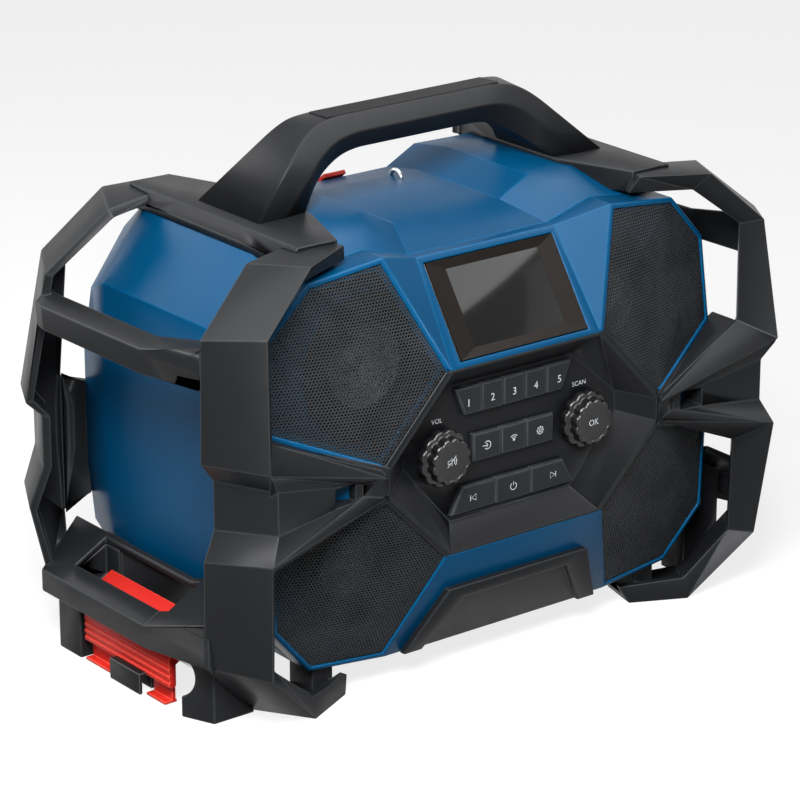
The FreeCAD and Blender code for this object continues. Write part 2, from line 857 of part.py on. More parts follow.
def guard_section(station):
    """Six corners of the L-shaped wall at one bend: two faces that meet in the ridge."""
    ridge, inner, outer = (Vector(*numbers) for numbers in station)
    toward_inner, toward_outer = Vector(inner).normalize(), Vector(outer).normalize()
    wall = size("guard_wall") / math.sin(toward_inner.getAngle(toward_outer))
    return [
        ridge,
        ridge + inner,
        ridge + inner + toward_outer * wall,
        ridge + (toward_inner + toward_outer) * wall,
        ridge + outer + toward_inner * wall,
        ridge + outer,
    ]


def guard_shell(stations):
    return skin([guard_section(station) for station in stations])


def front_arm():
    """The split arm from a front guard's waist to the side of the console."""
    top, waist_top, waist_low, low = (front_stations()[i] for i in (3, 4, 5, 6))
    start, deep, middle = size("console_half"), size("nose_depth"), size("middle_height")
    half = size("console_side")
    reach, tip, recess = size("arm_reach"), size("arm_tip"), size("arm_recess")
    behind = Vector(0, 26, 0)
    post = [edge_point(top, 1), edge_point(top, 0), edge_point(waist_top, 0),
            edge_point(waist_low, 0), edge_point(low, 0), edge_point(low, 1)]
    nose = [Vector(start, -deep, middle + half),
            Vector(start + 1, -deep - 1, middle + half - 4),
            Vector(start + reach, -deep + recess, middle + half - 6),
            Vector(start + reach, -deep + recess, middle - half + 4),
            Vector(start + 1, -deep - 1, middle - half),
            Vector(start, -deep, middle - half)]
    wedge = skin([post + [post[-1] + behind, post[0] + behind],
                  nose + [nose[-1] + behind, nose[0] + behind]])
    face = block([Vector(x, y, middle + z) for x, y0 in ((start, -deep - 1), (start + tip, recess - deep))
                  for y in (y0, y0 + 22) for z in (-half + 1, half - 4)])
    slot = crate((start + tip + 6, -FAR, middle - 7), (start + tip + 24, -size("body_front"), middle + 6))
    arm = wedge.fuse(face).cut(slot)
    for lip in (arm_lip("vertex_upper", "side_upper", "side_top", 0.0, 0.75),
                arm_lip("vertex_lower", "side_lower", "side_low", 1.0, 1.0)):
        arm = arm.fuse(lip)
    return arm


def arm_lip(near, far, third, far_share, length):
    """Thin edge of an arm that laps over the housing's rim along one side of a grille."""
    points = front_corners()
    start, end, inside = (Vector(*points[name]) for name in (near, far, third))
    along = (end - start) * length
    outward = along.cross(inside - start).normalize()
    if outward.y > 0:
        outward = -outward
    across = outward.cross(along).normalize()
    if across.dot(inside - start) < 0:
        across = -across
    width, proud = size("arm_lip"), size("arm_lip_proud")
    edge = [start, start + across * width, start + along]
    if far_share:
        edge.append(start + along + across * width * far_share)
    root = [point - across * 2 for point in (start, start + along)]
    return block([point + outward * lift for point in edge + root for lift in (-1.0, proud)])


def rear_arm():
    """The web from a rear guard's waist to the back of the housing, drawn at the front."""
    high, low = (edge_point(rear_stations()[i], 1) for i in (3, 6))
    inner = size("screw_spread") - 4
    back = -size("body_back")
    corners = []
    for point, sign in ((high, 1), (low, -1)):
        corners += [point + Vector(4, 0, 0), point + Vector(4, 7, 0)]
        corners += [Vector(inner, back + y, point.z - sign * 20) for y in (-6, 4)]
    return block(corners)


def make_guards():
    foot = size("foot_bar") - 1
    for end, side in SIDES:
        boss_front = crate((135, 50 - size("cage_half_depth"), 4), (152, -72, size("body_floor") + 20))
        front = guard_shell(front_stations()).fuse(front_arm())
        front = clear_of_hull(front.fuse(boss_front))
        moulded("front_guard_" + end, on_side(front, side))
        rear = flipped(guard_shell(rear_stations()).fuse(rear_arm()), Y_AXIS).fuse(side_bar())
        boss_rear = crate((135, 66, foot - 9), (152, 98, size("body_floor") + 20))
        moulded("rear_guard_" + end, on_side(clear_of_hull(rear.fuse(boss_rear)), side))


# Bars and sills between the front and rear guards


def side_bar():
    """Faceted bar from the rear guard forwards to the front guard at shoulder height."""
    out = size("cage_half_width") + size("flare_out")
    ridge, tall, thick = size("bar_ridge"), size("bar_tall"), size("bar_thick")
    sections = []
    for y, lag, x, z, deep in (
            (88, 8, out - 3, ridge - 1, tall), (76, 0, out, ridge - 1, tall),
            (-41, 0, out, ridge + 1, tall + 1),
            (-101, -14, out - 6, ridge + size("bar_rise"), tall + size("bar_root"))):
        sections.append([Vector(x, y, z), Vector(x - 1, y, z - deep),
                         Vector(x - thick, y + lag, z - deep + 3), Vector(x - thick, y + lag, z + 6)])
    return skin(sections).cut(guard_shell(front_stations()))


def sill_rise(y):
    """How far the sill has climbed at a depth on its way to the front guard."""
    return size("sill_rise") * min(1.0, max(0.0, (-28 - y) / 76))


def sill():
    """Sloping sill above the stacking latch, with a lip down its outer edge."""
    out, inner = size("sill_half"), size("sill_inner")
    tall, wall, slope = size("sill_tall"), size("sill_wall"), size("sill_slope")
    sections = []
    for y, lag in ((97, 20), (60, 0), (-28, 0), (-104, 0)):
        z = size("sill_ridge") + sill_rise(y)
        lip = tall + sill_rise(y) * 0.6
        sections.append([Vector(out, y, z), Vector(out, y, z - lip), Vector(out - wall, y, z - lip),
                         Vector(out - wall, y, z - wall), Vector(inner, y + lag, z + slope - wall),
                         Vector(inner, y + lag, z + slope)])
    return skin(sections)


def sill_back():
    """Wall behind the stacking latch, from under the sill's inner edge down between the pads."""
    inner, wall = size("sill_inner"), size("sill_back_wall")
    spread, high = size("pad_spread"), size("sill_ridge") + size("sill_slope")
    return crate((inner - 1, -spread + 4, size("sill_back_low")), (inner - 1 + wall, spread - 4, high - 2))


def sill_window():
    """The slanted way through the sill to the latch's flap."""
    half, middle, wide = size("window_half"), size("window_middle"), size("window_wide")
    inner, slope = size("sill_inner"), size("sill_slope")
    start = inner + size("window_edge")
    fall = slope / (size("sill_half") - inner)
    height = size("sill_ridge") + slope
    return block([
        Vector(x, y, height - fall * (x - inner) + rise)
        for x in (start, start + wide) for y in (middle - half, middle + half) for rise in (-27, 12)
    ])


def foot_pad(start, end, cut_back=0.0):
    """A block from the floor up into the sill, between two depths."""
    outer, inner = size("sill_half") - size("sill_wall") - 1, size("body_half_width") - 3
    sections = []
    for y, draw in ((start, cut_back), (end, 0.0)):
        z = size("sill_ridge") + sill_rise(y) - 1
        sections.append([Vector(inner, y, 0), Vector(outer - draw, y, 0), Vector(outer - draw, y, z),
                         Vector(inner, y, z + size("sill_slope") - 2)])
    return skin(sections)


def make_side_frames():
    spread, long = size("pad_spread"), size("pad_long")
    front_pad = foot_pad(-spread - 2, -spread + long - 5, 10)
    scallop = Part.makeCylinder(size("scallop_radius"), FAR, Vector(0, -spread + long + 1, 30), X_AXIS)
    rear_pad = foot_pad(spread - long, spread)
    frame = sill().fuse(front_pad.cut(scallop)).fuse(rear_pad).fuse(sill_back()).cut(sill_window())
    for other in (guard_shell(front_stations()), flipped(guard_shell(rear_stations()), Y_AXIS)):
        frame = frame.cut(other)
    start, long_pin = latch_pin_span()
    centre = Vector(size("lever_pivot_x"), start, size("lever_pivot_z"))
    frame = frame.cut(Part.makeCylinder(size("pin_radius"), long_pin, centre, Y_AXIS))
    frame = clear_of_hull(frame)
    for end, side in SIDES:
        moulded("side_frame_" + end, on_side(frame, side))


def latch_pin_span():
    """Start and length of a stacking latch's pin, which ends inside both foot pads."""
    start = -size("pad_spread") + size("pad_long") - 5 - size("pin_seat")
    return start, size("pad_spread") - size("pad_long") + size("pin_seat") - start


# Rails on the shoulders, and the carrying handle on them


def rail_section(y, inner):
    outer, high, chamfer = size("rail_outer"), size("rail_height"), size("rail_chamfer")
    return [Vector(inner, y, high), Vector(outer - 6, y, high), Vector(outer, y, high - chamfer),
            Vector(outer - 3, y, high - 16), Vector(inner, y, high - 16)]


def make_top_rails():
    long, broad = size("rail_half_long"), size("rail_broad")
    inner, end_inner = size("rail_inner"), size("rail_end_inner")
    whole = skin([rail_section(y, x) for y, x in (
        (-long, end_inner), (-broad, inner), (broad, inner), (long, end_inner))])
    for guard in (guard_shell(front_stations()), flipped(guard_shell(rear_stations()), Y_AXIS)):
        whole = biggest(whole.cut(guard))
    rail = clear_of_hull(whole)
    for end, side in SIDES:
        moulded("top_rail_" + end, on_side(rail, side))


def handle_sections():
    """Six-cornered sections of the handle's right half, from the grip's middle to the foot."""
    top, low, front, back = (size("grip_" + word) for word in ("top", "low", "front", "back"))
    half, outer, wide = size("grip_half"), size("handle_half"), size("handle_foot_wide")
    base, before, behind = size("rail_height"), size("handle_foot_front"), size("handle_foot_back")

    def grip(x):
        return [Vector(x, 9 - front, low), Vector(x, -front, top - 11), Vector(x, 11 - front, top),
                Vector(x, back - 6, top - 1), Vector(x, back, top - 13), Vector(x, back - 6, low)]

    inner = outer - wide
    return [
        grip(0),
        [Vector(half - 1, 9 - front, low + 3), Vector(half + 1, -front, top - 10),
         Vector(half + 14, 11 - front, top), Vector(half + 16, back - 6, top - 1),
         Vector(half + 9, back, top - 13), Vector(half - 1, back - 6, low + 3)],
        [Vector(half + 23, 7 - front, low - 11), Vector(half + 21, -1 - front, top - 17),
         Vector(half + 34, 7 - front, top - 8), Vector(half + 33, back - 5, top - 4),
         Vector(half + 27, back + 1, top - 14), Vector(half + 23, back - 4, low - 10)],
        [Vector(inner, 3 - before, base), Vector(inner + 19, -before, base),
         Vector(outer, -before, base), Vector(outer, behind, base),
         Vector(inner + 19, behind, base), Vector(inner, behind - 3, base)],
    ]


def make_handle():
    right = skin(handle_sections())
    handle = right.fuse(flipped(right, X_AXIS))
    outer, base = size("handle_half"), size("rail_height")
    lean = (outer - size("grip_half") - 34) / (size("grip_top") - 8 - base)
    for side in (-1, 1):
        slot = block([Vector(side * (outer - rise * lean + x), y, base + rise) for x in (-12, 8)
                      for y in (-14, -8) for rise in (13, 25)])
        handle = handle.cut(slot)
    inset = size("pad_inset")
    pad_shape = handle_pad()
    handle = handle.cut(pad_shape)
    moulded("handle", biggest(handle))
    moulded("handle_grip_pad", pad_shape.common(crate((-FAR, -FAR, 0), (FAR, FAR, size("grip_top") + inset))))


def handle_pad():
    """Soft insert let into the top of the grip."""
    half, top, inset = size("grip_half") + 11, size("grip_top"), size("pad_inset")
    front, back = size("grip_front"), size("grip_back")
    slope = 1.0 / (back - 6 + front - 11)
    corners = []
    for x in (-half, half):
        for y in (13 - front, back - 8):
            drop = (y + front - 11) * slope
            corners += [Vector(x, y, top - drop - inset), Vector(x, y, top - drop + 0.6)]
    return block(corners)


# Console, keys and knobs

KEY_ROWS = {
    "preset": (["preset_1_key", "preset_2_key", "preset_3_key", "preset_4_key", "preset_5_key"], 3.5),
    "menu": (["source_key", "wireless_key", "settings_key"], 2.0),
    "play": (["previous_key", "power_key", "next_key"], -2.5),
}


def key_corners(row, place):
    """Formula pairs for one key's four corners, clockwise from its top left."""
    names, extra = KEY_ROWS[row]
    count = len(names)
    pitch, top = "Sizes.%s_pitch" % row, "Sizes.%s_top" % row
    low = "%s - Sizes.%s_tall" % (top, row)
    slant = {"preset": "Sizes.preset_slant", "menu": "0", "play": "-Sizes.play_slant"}[row]
    edge_left, edge_right = place - count / 2.0, place + 1 - count / 2.0
    gap = "Sizes.key_gap / 2"
    left = ["%s * %.1f + %s" % (pitch, edge_left, gap)] * 2
    right = ["%s * %.1f - %s" % (pitch, edge_right, gap)] * 2
    if place == 0:
        left = ["%s * %.1f - %.1f" % (pitch, edge_left, extra),
                "%s * %.1f - %.1f + %s" % (pitch, edge_left, extra, slant)]
    if place == count - 1:
        right = ["%s * %.1f + %.1f" % (pitch, edge_right, extra),
                 "%s * %.1f + %.1f - (%s)" % (pitch, edge_right, extra, slant)]
    return [(left[0], top), (right[0], top), (right[1], low), (left[1], low)]


def row_outline(row, margin):
    """Outline of a whole row of keys as (x, z) pairs, grown by a margin."""
    names, extra = KEY_ROWS[row]
    half = size(row + "_pitch") * len(names) / 2 + extra
    slant = {"preset": size("preset_slant"), "menu": 0.0, "play": -size("play_slant")}[row]
    top = size(row + "_top")
    low = top - size(row + "_tall")
    return drawn_in([(-half, top), (half, top), (half - slant, low), (slant - half, low)], -margin)


def make_keys():
    reach = "Sizes.console_plate + Sizes.key_proud + Sizes.key_slack"
    for row, (names, _) in KEY_ROWS.items():
        for place, label in enumerate(names):
            body = new_body(label)
            corners = key_corners(row, place)
            cap = pad(body, "Cap", drawn(body, "CapOutline", "XZ_Plane", corners), reach)
            doc.recompute()
            front = min(range(len(cap.Shape.Faces)), key=lambda i: cap.Shape.Faces[i].CenterOfMass.y)
            edge = body.newObject("PartDesign::Chamfer", "CapEdge")
            edge.Base = (cap, ["Face%d" % (front + 1)])
            edge.setExpression("Size", "Sizes.key_edge")
            low, high = ("%s - 1" % corners[2][1], "%s + 1" % corners[0][1])
            flange = [(corners[0][0], high), (corners[1][0], high), (corners[2][0], low),
                      (corners[3][0], low)]
            rim = pad(body, "Flange", drawn(body, "FlangeOutline", "XZ_Plane", flange),
                      "Sizes.key_flange")
            rim.Reversed = True
            body.setExpression("Placement.Base.y",
                               "-Sizes.console_floor + Sizes.console_plate + Sizes.key_slack")


def make_console_bezel():
    """Faceted surround with sloping walls down to the plate that the keys come through."""
    block_shape = whole_hull()[0].common(prism(console_outline(size("console_lip")), -FAR,
                                               -size("console_back")))
    floor, edge = -size("console_floor"), size("console_edge")
    points = drawn_in(console_outline(), edge)
    middle, side = size("middle_height"), size("console_side")
    half, top_half = size("panel_half"), size("panel_top_half")
    inner = both_halves([(top_half, size("panel_high")), (half, middle + side + 6),
                         (half + 1, middle), (top_half + 1, size("panel_low"))])
    dish = skin([[Vector(x, -size("nose_depth") - 0.01, z) for x, z in points],
                 [Vector(x, floor, z) for x, z in inner]])
    bezel = block_shape.cut(dish)
    back = floor + size("console_plate")
    bezel = bezel.cut(prism(drawn_in(inner, -2), back, -size("console_back") + 1))
    for row in KEY_ROWS:
        bezel = bezel.cut(prism(row_outline(row, size("key_gap")), floor - 1, back + 1))
    for side_sign in (-1, 1):
        centre = Vector(side_sign * size("knob_spread"), floor - 1, size("knob_height"))
        bezel = bezel.cut(Part.makeCylinder(size("sleeve_radius") + size("gap"),
                                            size("console_plate") + 2, centre, Y_AXIS))
    for tool in grille_pockets():
        bezel = bezel.cut(tool)
    moulded("console_bezel", biggest(bezel))


def make_board():
    """Circuit board behind the console, with the rubber key mat on it."""
    sketch_corners = []
    for x, z in (("panel_top_half", "panel_high"), ("panel_half", "middle_height"),
                 ("panel_top_half", "panel_low")):
        lift = {"panel_high": " + 6", "middle_height": "", "panel_low": " - 6"}[z]
        sketch_corners.append(("Sizes.%s + 9" % x, "Sizes.%s%s" % (z, lift)))
    mirror = [("-(%s)" % x, z) for x, z in reversed(sketch_corners)]
    board = new_body("circuit_board")
    pad(board, "Sheet", drawn(board, "Outline", "XZ_Plane", sketch_corners + mirror),
        "Sizes.board_thick")
    board.setExpression("Placement.Base.y", "-Sizes.console_back + Sizes.board_thick")
    mat = new_body("key_mat")
    half = "Sizes.knob_spread - Sizes.encoder_side / 2 - 1"
    pad(mat, "Sheet", drawn(mat, "Outline", "XZ_Plane", [
        ("-(%s)" % half, "Sizes.preset_top"), (half, "Sizes.preset_top"),
        (half, "Sizes.play_top - Sizes.play_tall"), ("-(%s)" % half, "Sizes.play_top - Sizes.play_tall")]),
        "Sizes.mat_thick")
    mat.setExpression("Placement.Base.y", "-Sizes.console_back")


def make_encoders():
    """Two rotary encoders: square bodies, sliding sleeves, and the knobs on their shafts."""
    plate_back = "-Sizes.console_floor + Sizes.console_plate + Sizes.gap"
    blocks = []
    for end, side in SIDES:
        centre = "%d * Sizes.knob_spread" % side
        square = primitive("Box", "EncoderBlock_" + end, Length="Sizes.encoder_side",
                           Width="Sizes.console_floor - Sizes.console_plate - Sizes.gap"
                                 " - Sizes.console_back",
                           Height="Sizes.encoder_side", X=centre + " - Sizes.encoder_side / 2",
                           Y=plate_back, Z="Sizes.knob_height - Sizes.encoder_side / 2")
        bore = primitive("Cylinder", "EncoderBore_" + end, ALONG_Y, Height="20",
                         Radius="Sizes.sleeve_radius + Sizes.running_fit", X=centre,
                         Y="-Sizes.console_floor - 5", Z="Sizes.knob_height")
        blocks.append(cut_from("Encoder_" + end, square, bore))
    group = doc.addObject("Part::Compound", "encoder_bodies")
    group.Links = blocks
    keep(group, "encoder_bodies")
    for (end, side), knob_label in zip(SIDES, ("volume_knob", "tuning_knob")):
        centre = "%d * Sizes.knob_spread" % side
        outside = primitive("Cylinder", "SleeveOutside_" + end, ALONG_Y,
                            Radius="Sizes.sleeve_radius",
                            Height="Sizes.console_floor - Sizes.console_back - 1.5",
                            X=centre, Y="-Sizes.console_floor", Z="Sizes.knob_height")
        inside = primitive("Cylinder", "SleeveInside_" + end, ALONG_Y, Height="30",
                           Radius="Sizes.shaft_radius + Sizes.running_fit",
                           X=centre, Y="-Sizes.console_floor - 10", Z="Sizes.knob_height")
        keep(cut_from("encoder_sleeve_" + end, outside, inside), "encoder_sleeve_" + end)
        shaft_label = knob_label.replace("knob", "shaft")
        shaft = primitive("Cylinder", shaft_label, ALONG_Y, Radius="Sizes.shaft_radius",
                          Height="Sizes.knob_long + Sizes.knob_gap - Sizes.knob_cap"
                                 " + Sizes.console_floor - Sizes.console_back - 1.8",
                          X=centre, Z="Sizes.knob_height",
                          Y="-Sizes.console_floor - Sizes.knob_gap - Sizes.knob_long"
                            " + Sizes.knob_cap")
        keep(shaft, shaft_label)
        make_knob(knob_label, centre)


def make_knob(label, centre):
    """Tapered knob with a fluted grip and a shaft hole in its back."""
    body = new_body(label)
    core = body.newObject("PartDesign::AdditiveCone", "Core")
    core.Placement = Placement(Vector(), ALONG_Y)
    core.setExpression("Radius1", "Sizes.knob_face_radius")
    core.setExpression("Radius2", "Sizes.knob_radius")
    core.setExpression("Height", "Sizes.knob_long")
    doc.recompute()
    flute = body.newObject("PartDesign::SubtractiveCylinder", "Flute")
    flute.Placement = Placement(Vector(0, -1, 0), ALONG_Y)
    flute.setExpression("Radius", "Sizes.flute_radius")
    flute.setExpression("Height", "Sizes.knob_long * 0.75")
    flute.setExpression("Placement.Base.x", "Sizes.knob_radius")
    doc.recompute()
    flutes = body.newObject("PartDesign::PolarPattern", "Flutes")
    flutes.Originals = [flute]
    flutes.Axis = (next(f for f in body.Origin.OriginFeatures if f.Role == "Y_Axis"), [""])
    flutes.Angle = 360
    flutes.Occurrences = 12
    body.Tip = flutes
    doc.recompute()
    bore = body.newObject("PartDesign::SubtractiveCylinder", "Bore")
    bore.Placement = Placement(Vector(), ALONG_Y)
    bore.setExpression("Radius", "Sizes.shaft_radius")
    bore.setExpression("Height", "Sizes.knob_long")
    bore.setExpression("Placement.Base.y", "Sizes.knob_cap")
    body.setExpression("Placement.Base.x", centre)
    body.setExpression("Placement.Base.y", "-Sizes.console_floor - Sizes.knob_gap - Sizes.knob_long")
    body.setExpression("Placement.Base.z", "Sizes.knob_height")


def make_center_foot():
    """Arched skid plate on the lower front, with a shallow panel inside the arch."""
    proud = size("arch_proud")
    half, high, foot, wide = (size("arch_" + word) for word in ("half", "high", "foot_half", "wide"))
    low = size("body_floor") - 6
    outer = both_halves([(half, high), (foot, low)])
    inner = both_halves([(half - wide * 1.1, high - wide * 0.75), (foot - wide, low - 1)])
    raised = front_form(0, -proud).cut(whole_hull()[0])
    sunk = front_form(0, -2.0).cut(whole_hull()[0])
    arch = raised.common(prism(outer, -FAR, -96).cut(prism(inner, -FAR, -96)))
    middle = sunk.common(prism(drawn_in(outer, 4), -FAR, -96))
    moulded("center_foot", biggest(arch.fuse(middle)))


# Battery, door and latch at the back


def make_battery():
    front, floor = "Sizes.bay_front + Sizes.bay_wall", "Sizes.door_low + Sizes.door_thick - Sizes.gap"
    seat = primitive("Box", "battery_terminal_block", Length="Sizes.pack_half_width * 2 - 16",
                     Width="Sizes.terminal_thick", Height="Sizes.pack_tall - 30",
                     X="-(Sizes.pack_half_width - 8)", Y=front, Z=floor)
    keep(seat, "battery_terminal_block")
    body = new_body("battery_pack")
    half, depth = "Sizes.pack_half_width", "Sizes.pack_deep"
    profile = drawn(body, "Profile", "XY_Plane", [
        ("-(%s)" % half, depth + " - 6"), ("-(%s) + 6" % half, depth), (half + " - 6", depth),
        (half, depth + " - 6"), (half, "12"), (half + " - 8", "0"),
        ("-(%s) + 8" % half, "0"), ("-(%s)" % half, "12")])
    pad(body, "Case", profile, "Sizes.pack_tall")
    body.setExpression("Placement.Base.y", front + " + Sizes.terminal_thick")
    body.setExpression("Placement.Base.z", floor)


def make_door():
    """Door over the battery bay: it wraps from the back over the sloping top edge."""
    half, thick, back = size("door_half"), size("door_thick"), size("body_back")
    y, z = door_axis()
    outside = crate((-half, size("side_back") + size("door_edge"), z), (half, FAR, FAR))
    inner = hull_form(thick, -size("body_split"), back - thick)
    plate = whole_hull()[1].common(outside).cut(inner)
    barrel = Part.makeCylinder(thick, 2 * half, Vector(-half, y, z), X_AXIS)
    web = crate((-half, y, z), (half, back, z + thick))
    door = biggest(plate.fuse(web).fuse(barrel))
    bore = Part.makeCylinder(size("pin_radius") + size("pin_fit"), 2 * half + 2, Vector(-half - 1, y, z),
                             X_AXIS)
    moulded("battery_door", biggest(door.cut(bore).cut(tab_pocket())))


def tab_frame():
    """Start point, downhill direction and outward direction of the door's latch."""
    start = hull_section(size("side_back"))[0]
    end = hull_section(size("body_back"))[0]
    along = Vector(0, end.y - start.y, end.z - start.z).normalize()
    return Vector(0, start.y, start.z), along, Vector(0, -along.z, along.y)


def tab_block(half, start, end, low, high):
    origin, along, out = tab_frame()
    return block([origin + Vector(x, 0, 0) + along * step + out * rise
                  for x in (-half, half) for step in (start, end) for rise in (low, high)])


def tab_pocket():
    gap = size("gap")
    return tab_block(size("tab_half") + gap, 2, 5 + size("tab_long") + size("tab_travel") + gap, -2, 20)


def make_door_latch():
    """Red thumb tab that slides down the door to free its edge."""
    half, long, proud = size("tab_half"), size("tab_long"), size("tab_proud")
    slide = tab_block(half, 5, 5 + long, size("gap") - 2, proud)
    lip = tab_block(half, -2, 5.5, size("gap") + 0.6, proud)
    moulded("door_latch", slide.fuse(lip))


def make_hinge_pins():
    """Steel pins of the battery door and of the two stacking latches."""
    y, z = door_axis()
    half = size("door_half") + size("gap") + size("bay_wall")
    pins = [Part.makeCylinder(size("pin_radius"), 2 * half, Vector(-half, y, z), X_AXIS)]
    start, long = latch_pin_span()
    for side in (-1, 1):
        centre = Vector(side * size("lever_pivot_x"), start, size("lever_pivot_z"))
        pins.append(Part.makeCylinder(size("pin_radius"), long, centre, Y_AXIS))
    moulded("hinge_pins", Part.makeCompound(pins))


# Stacking latches under the sills


def lever_profile():
    """Section of the lever as (x, z) pairs: ribbed face, lower lip and the flap in the window."""
    face, wall, low = size("lever_face"), size("lever_wall"), size("lever_low")
    px, pz, top = size("lever_pivot_x"), size("lever_pivot_z"), size("lever_top_z")
    return [(face, pz - 4), (face, low), (face - wall, low - 2), (face - wall - 2, low),
            (face - wall - 2, pz - 6), (px - 6, pz - 2), (px - 5, top - 2), (px - 18.5, top + 8),
            (px - 16.5, top + 12), (px + 2, top + 1), (px + 5, pz + 6)]


def make_stack_levers():
    middle, half = size("lever_middle"), size("lever_half")
    px, pz = size("lever_pivot_x"), size("lever_pivot_z")
    for end, side in SIDES:
        lever = prism(lever_profile(), middle - half, middle + half)
        for i in range(3):
            groove = Part.makeCylinder(size("rib_radius"), FAR, Vector(size("lever_face") + 0.8, -FAR / 2,
                                       size("lever_low") + 4 + i * 5), Y_AXIS)
            lever = lever.cut(groove)
        bore = Part.makeCylinder(size("pin_radius") + size("pin_fit"), FAR, Vector(px, -FAR / 2, pz), Y_AXIS)
        lever = lever.cut(bore)
        reach = size("hook_half")
        centre = middle - 5
        seat = crate((size("lever_face") - 12, centre - reach, 0),
                     (size("hook_face") + 2, centre + reach, size("lever_low") + 1))
        lips = []
        for start, stop in ((middle - half + 4, centre - reach - 2),
                            (centre + reach + 2, middle + half - 2)):
            lips.append(crate((size("lever_face") - 9, start, 1), (size("lever_face") + 1, stop, 3)))
            lips.append(crate((size("lever_face") - 8, start, 1), (size("lever_face") - 5, stop,
                                                                 size("lever_low") + 4)))
        for lip in lips:
            lever = lever.fuse(lip)
        moulded("stack_lever_" + end, on_side(biggest(lever.cut(seat)), side))
        hook = hook_shape(centre, reach)
        moulded("stack_hook_" + end, on_side(hook, side))


def hook_shape(middle, reach):
    """Bent steel hook: an upside-down U that hangs under the lever."""
    wall, face, top = size("hook_wall"), size("hook_face"), size("lever_low") + 1
    outer = crate((face - wall, middle - reach, 1), (face, middle + reach, top))
    bridge = crate((face - 12, middle - reach, top - wall), (face, middle + reach, top))
    inner = crate((face - 12, middle - reach, 3), (face - 12 + wall, middle + reach, top))
    return outer.fuse(bridge).fuse(inner)


def make_tether_eye():
    """Bent wire loop on the crown, for a safety cord."""
    ring = Part.makeTorus(size("eye_radius"), size("eye_wire"), Vector(25, 38, 302), X_AXIS)
    moulded("tether_eye", biggest(clear_of_hull(ring)))


for build in (
    make_front_housing, make_rear_housing, make_housing_screws, make_baffle, make_speakers,
    make_grilles, make_screen, make_console_bezel, make_keys, make_board, make_encoders,
    make_center_foot, make_guards, make_side_frames, make_top_rails, make_handle, make_battery,
    make_door, make_door_latch, make_hinge_pins, make_stack_levers, make_tether_eye,
):
    build()
doc.recompute()


def write_pieces():
    """Check every object and every sub-part, then write one STEP file each."""
    for thing in doc.Objects:
        state = " ".join(thing.State)
        if "Invalid" in state or "Error" in state:
            raise RuntimeError("%s did not recompute: %s" % (thing.Label, state))
    for thing in PIECES:
        if thing.Shape.isNull() or not thing.Shape.isValid():
            raise RuntimeError("%s has no sound shape" % thing.Label)
    os.makedirs("parts", exist_ok=True)
    for thing in PIECES:
        thing.Shape.exportStep("parts/%s.step" % thing.Label)


write_pieces()
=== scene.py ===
"""Jobsite radio in its roll cage: finishes, perforated grilles, speakers, knobs and key legends."""

import json
import math

import bmesh
import bpy
import numpy as np
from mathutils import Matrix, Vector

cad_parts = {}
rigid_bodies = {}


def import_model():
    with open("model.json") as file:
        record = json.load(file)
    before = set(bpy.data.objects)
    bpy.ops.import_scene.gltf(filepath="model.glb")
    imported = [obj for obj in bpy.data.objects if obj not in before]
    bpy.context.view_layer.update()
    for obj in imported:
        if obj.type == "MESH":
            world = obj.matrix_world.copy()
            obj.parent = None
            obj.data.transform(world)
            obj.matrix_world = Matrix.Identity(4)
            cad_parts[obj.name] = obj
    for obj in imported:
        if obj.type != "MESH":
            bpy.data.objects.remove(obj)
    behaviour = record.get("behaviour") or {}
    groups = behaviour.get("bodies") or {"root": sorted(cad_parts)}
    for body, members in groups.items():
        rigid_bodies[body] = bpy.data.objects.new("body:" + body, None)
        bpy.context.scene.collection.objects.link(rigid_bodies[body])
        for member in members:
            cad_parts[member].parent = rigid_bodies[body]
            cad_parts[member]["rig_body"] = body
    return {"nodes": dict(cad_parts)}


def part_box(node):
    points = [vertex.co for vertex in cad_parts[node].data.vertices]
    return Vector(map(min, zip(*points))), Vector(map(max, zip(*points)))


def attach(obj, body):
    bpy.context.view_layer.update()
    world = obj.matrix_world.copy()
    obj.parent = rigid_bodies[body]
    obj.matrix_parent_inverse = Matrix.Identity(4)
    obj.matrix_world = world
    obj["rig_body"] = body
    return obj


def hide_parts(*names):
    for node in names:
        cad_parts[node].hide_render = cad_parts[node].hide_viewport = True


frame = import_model()
bpy.context.view_layer.update()
MM = 0.001


# Housings and battery door: ABS mouldings in deep blue. Their faces carry a fine spark texture,
# and the rounded edges carry a painted highlight, a little paler, rubbed in small patches. The
# rear housing's crown bends softly, so only its stronger creases are rounded as edges.
def srgb(red, green, blue):
    """Screen colour, 0 to 255, as the linear colour that a shader takes."""
    share = np.array([red, green, blue]) / 255
    linear = np.where(share < 0.04045, share / 12.92, ((share + 0.055) / 1.055) ** 2.4)
    return (*linear.tolist(), 1.0)


class Signal:
    """A shader socket. Arithmetic on it adds the Math nodes that work the value out."""

    def __init__(self, tree, socket):
        self.tree = tree
        self.socket = socket

    def feed(self, place):
        self.tree.links.new(self.socket, place)

    def math(self, operation, *values):
        node = self.tree.nodes.new("ShaderNodeMath")
        node.operation = operation
        for place, value in zip(node.inputs, values):
            connect(place, value)
        return Signal(self.tree, node.outputs[0])

    def __add__(self, other):
        return self.math("ADD", self, other)

    def __mul__(self, other):
        return self.math("MULTIPLY", self, other)

    def ramp(self, low, high):
        """0 below low, 1 above high, and a straight line between."""
        node = self.tree.nodes.new("ShaderNodeMapRange")
        for place, value in zip(node.inputs, (self, low, high, 0.0, 1.0)):
            connect(place, value)
        return Signal(self.tree, node.outputs[0])


def connect(place, value):
    """Links a signal to a socket, or sets a plain value on it."""
    if isinstance(value, Signal):
        value.feed(place)
    else:
        place.default_value = value


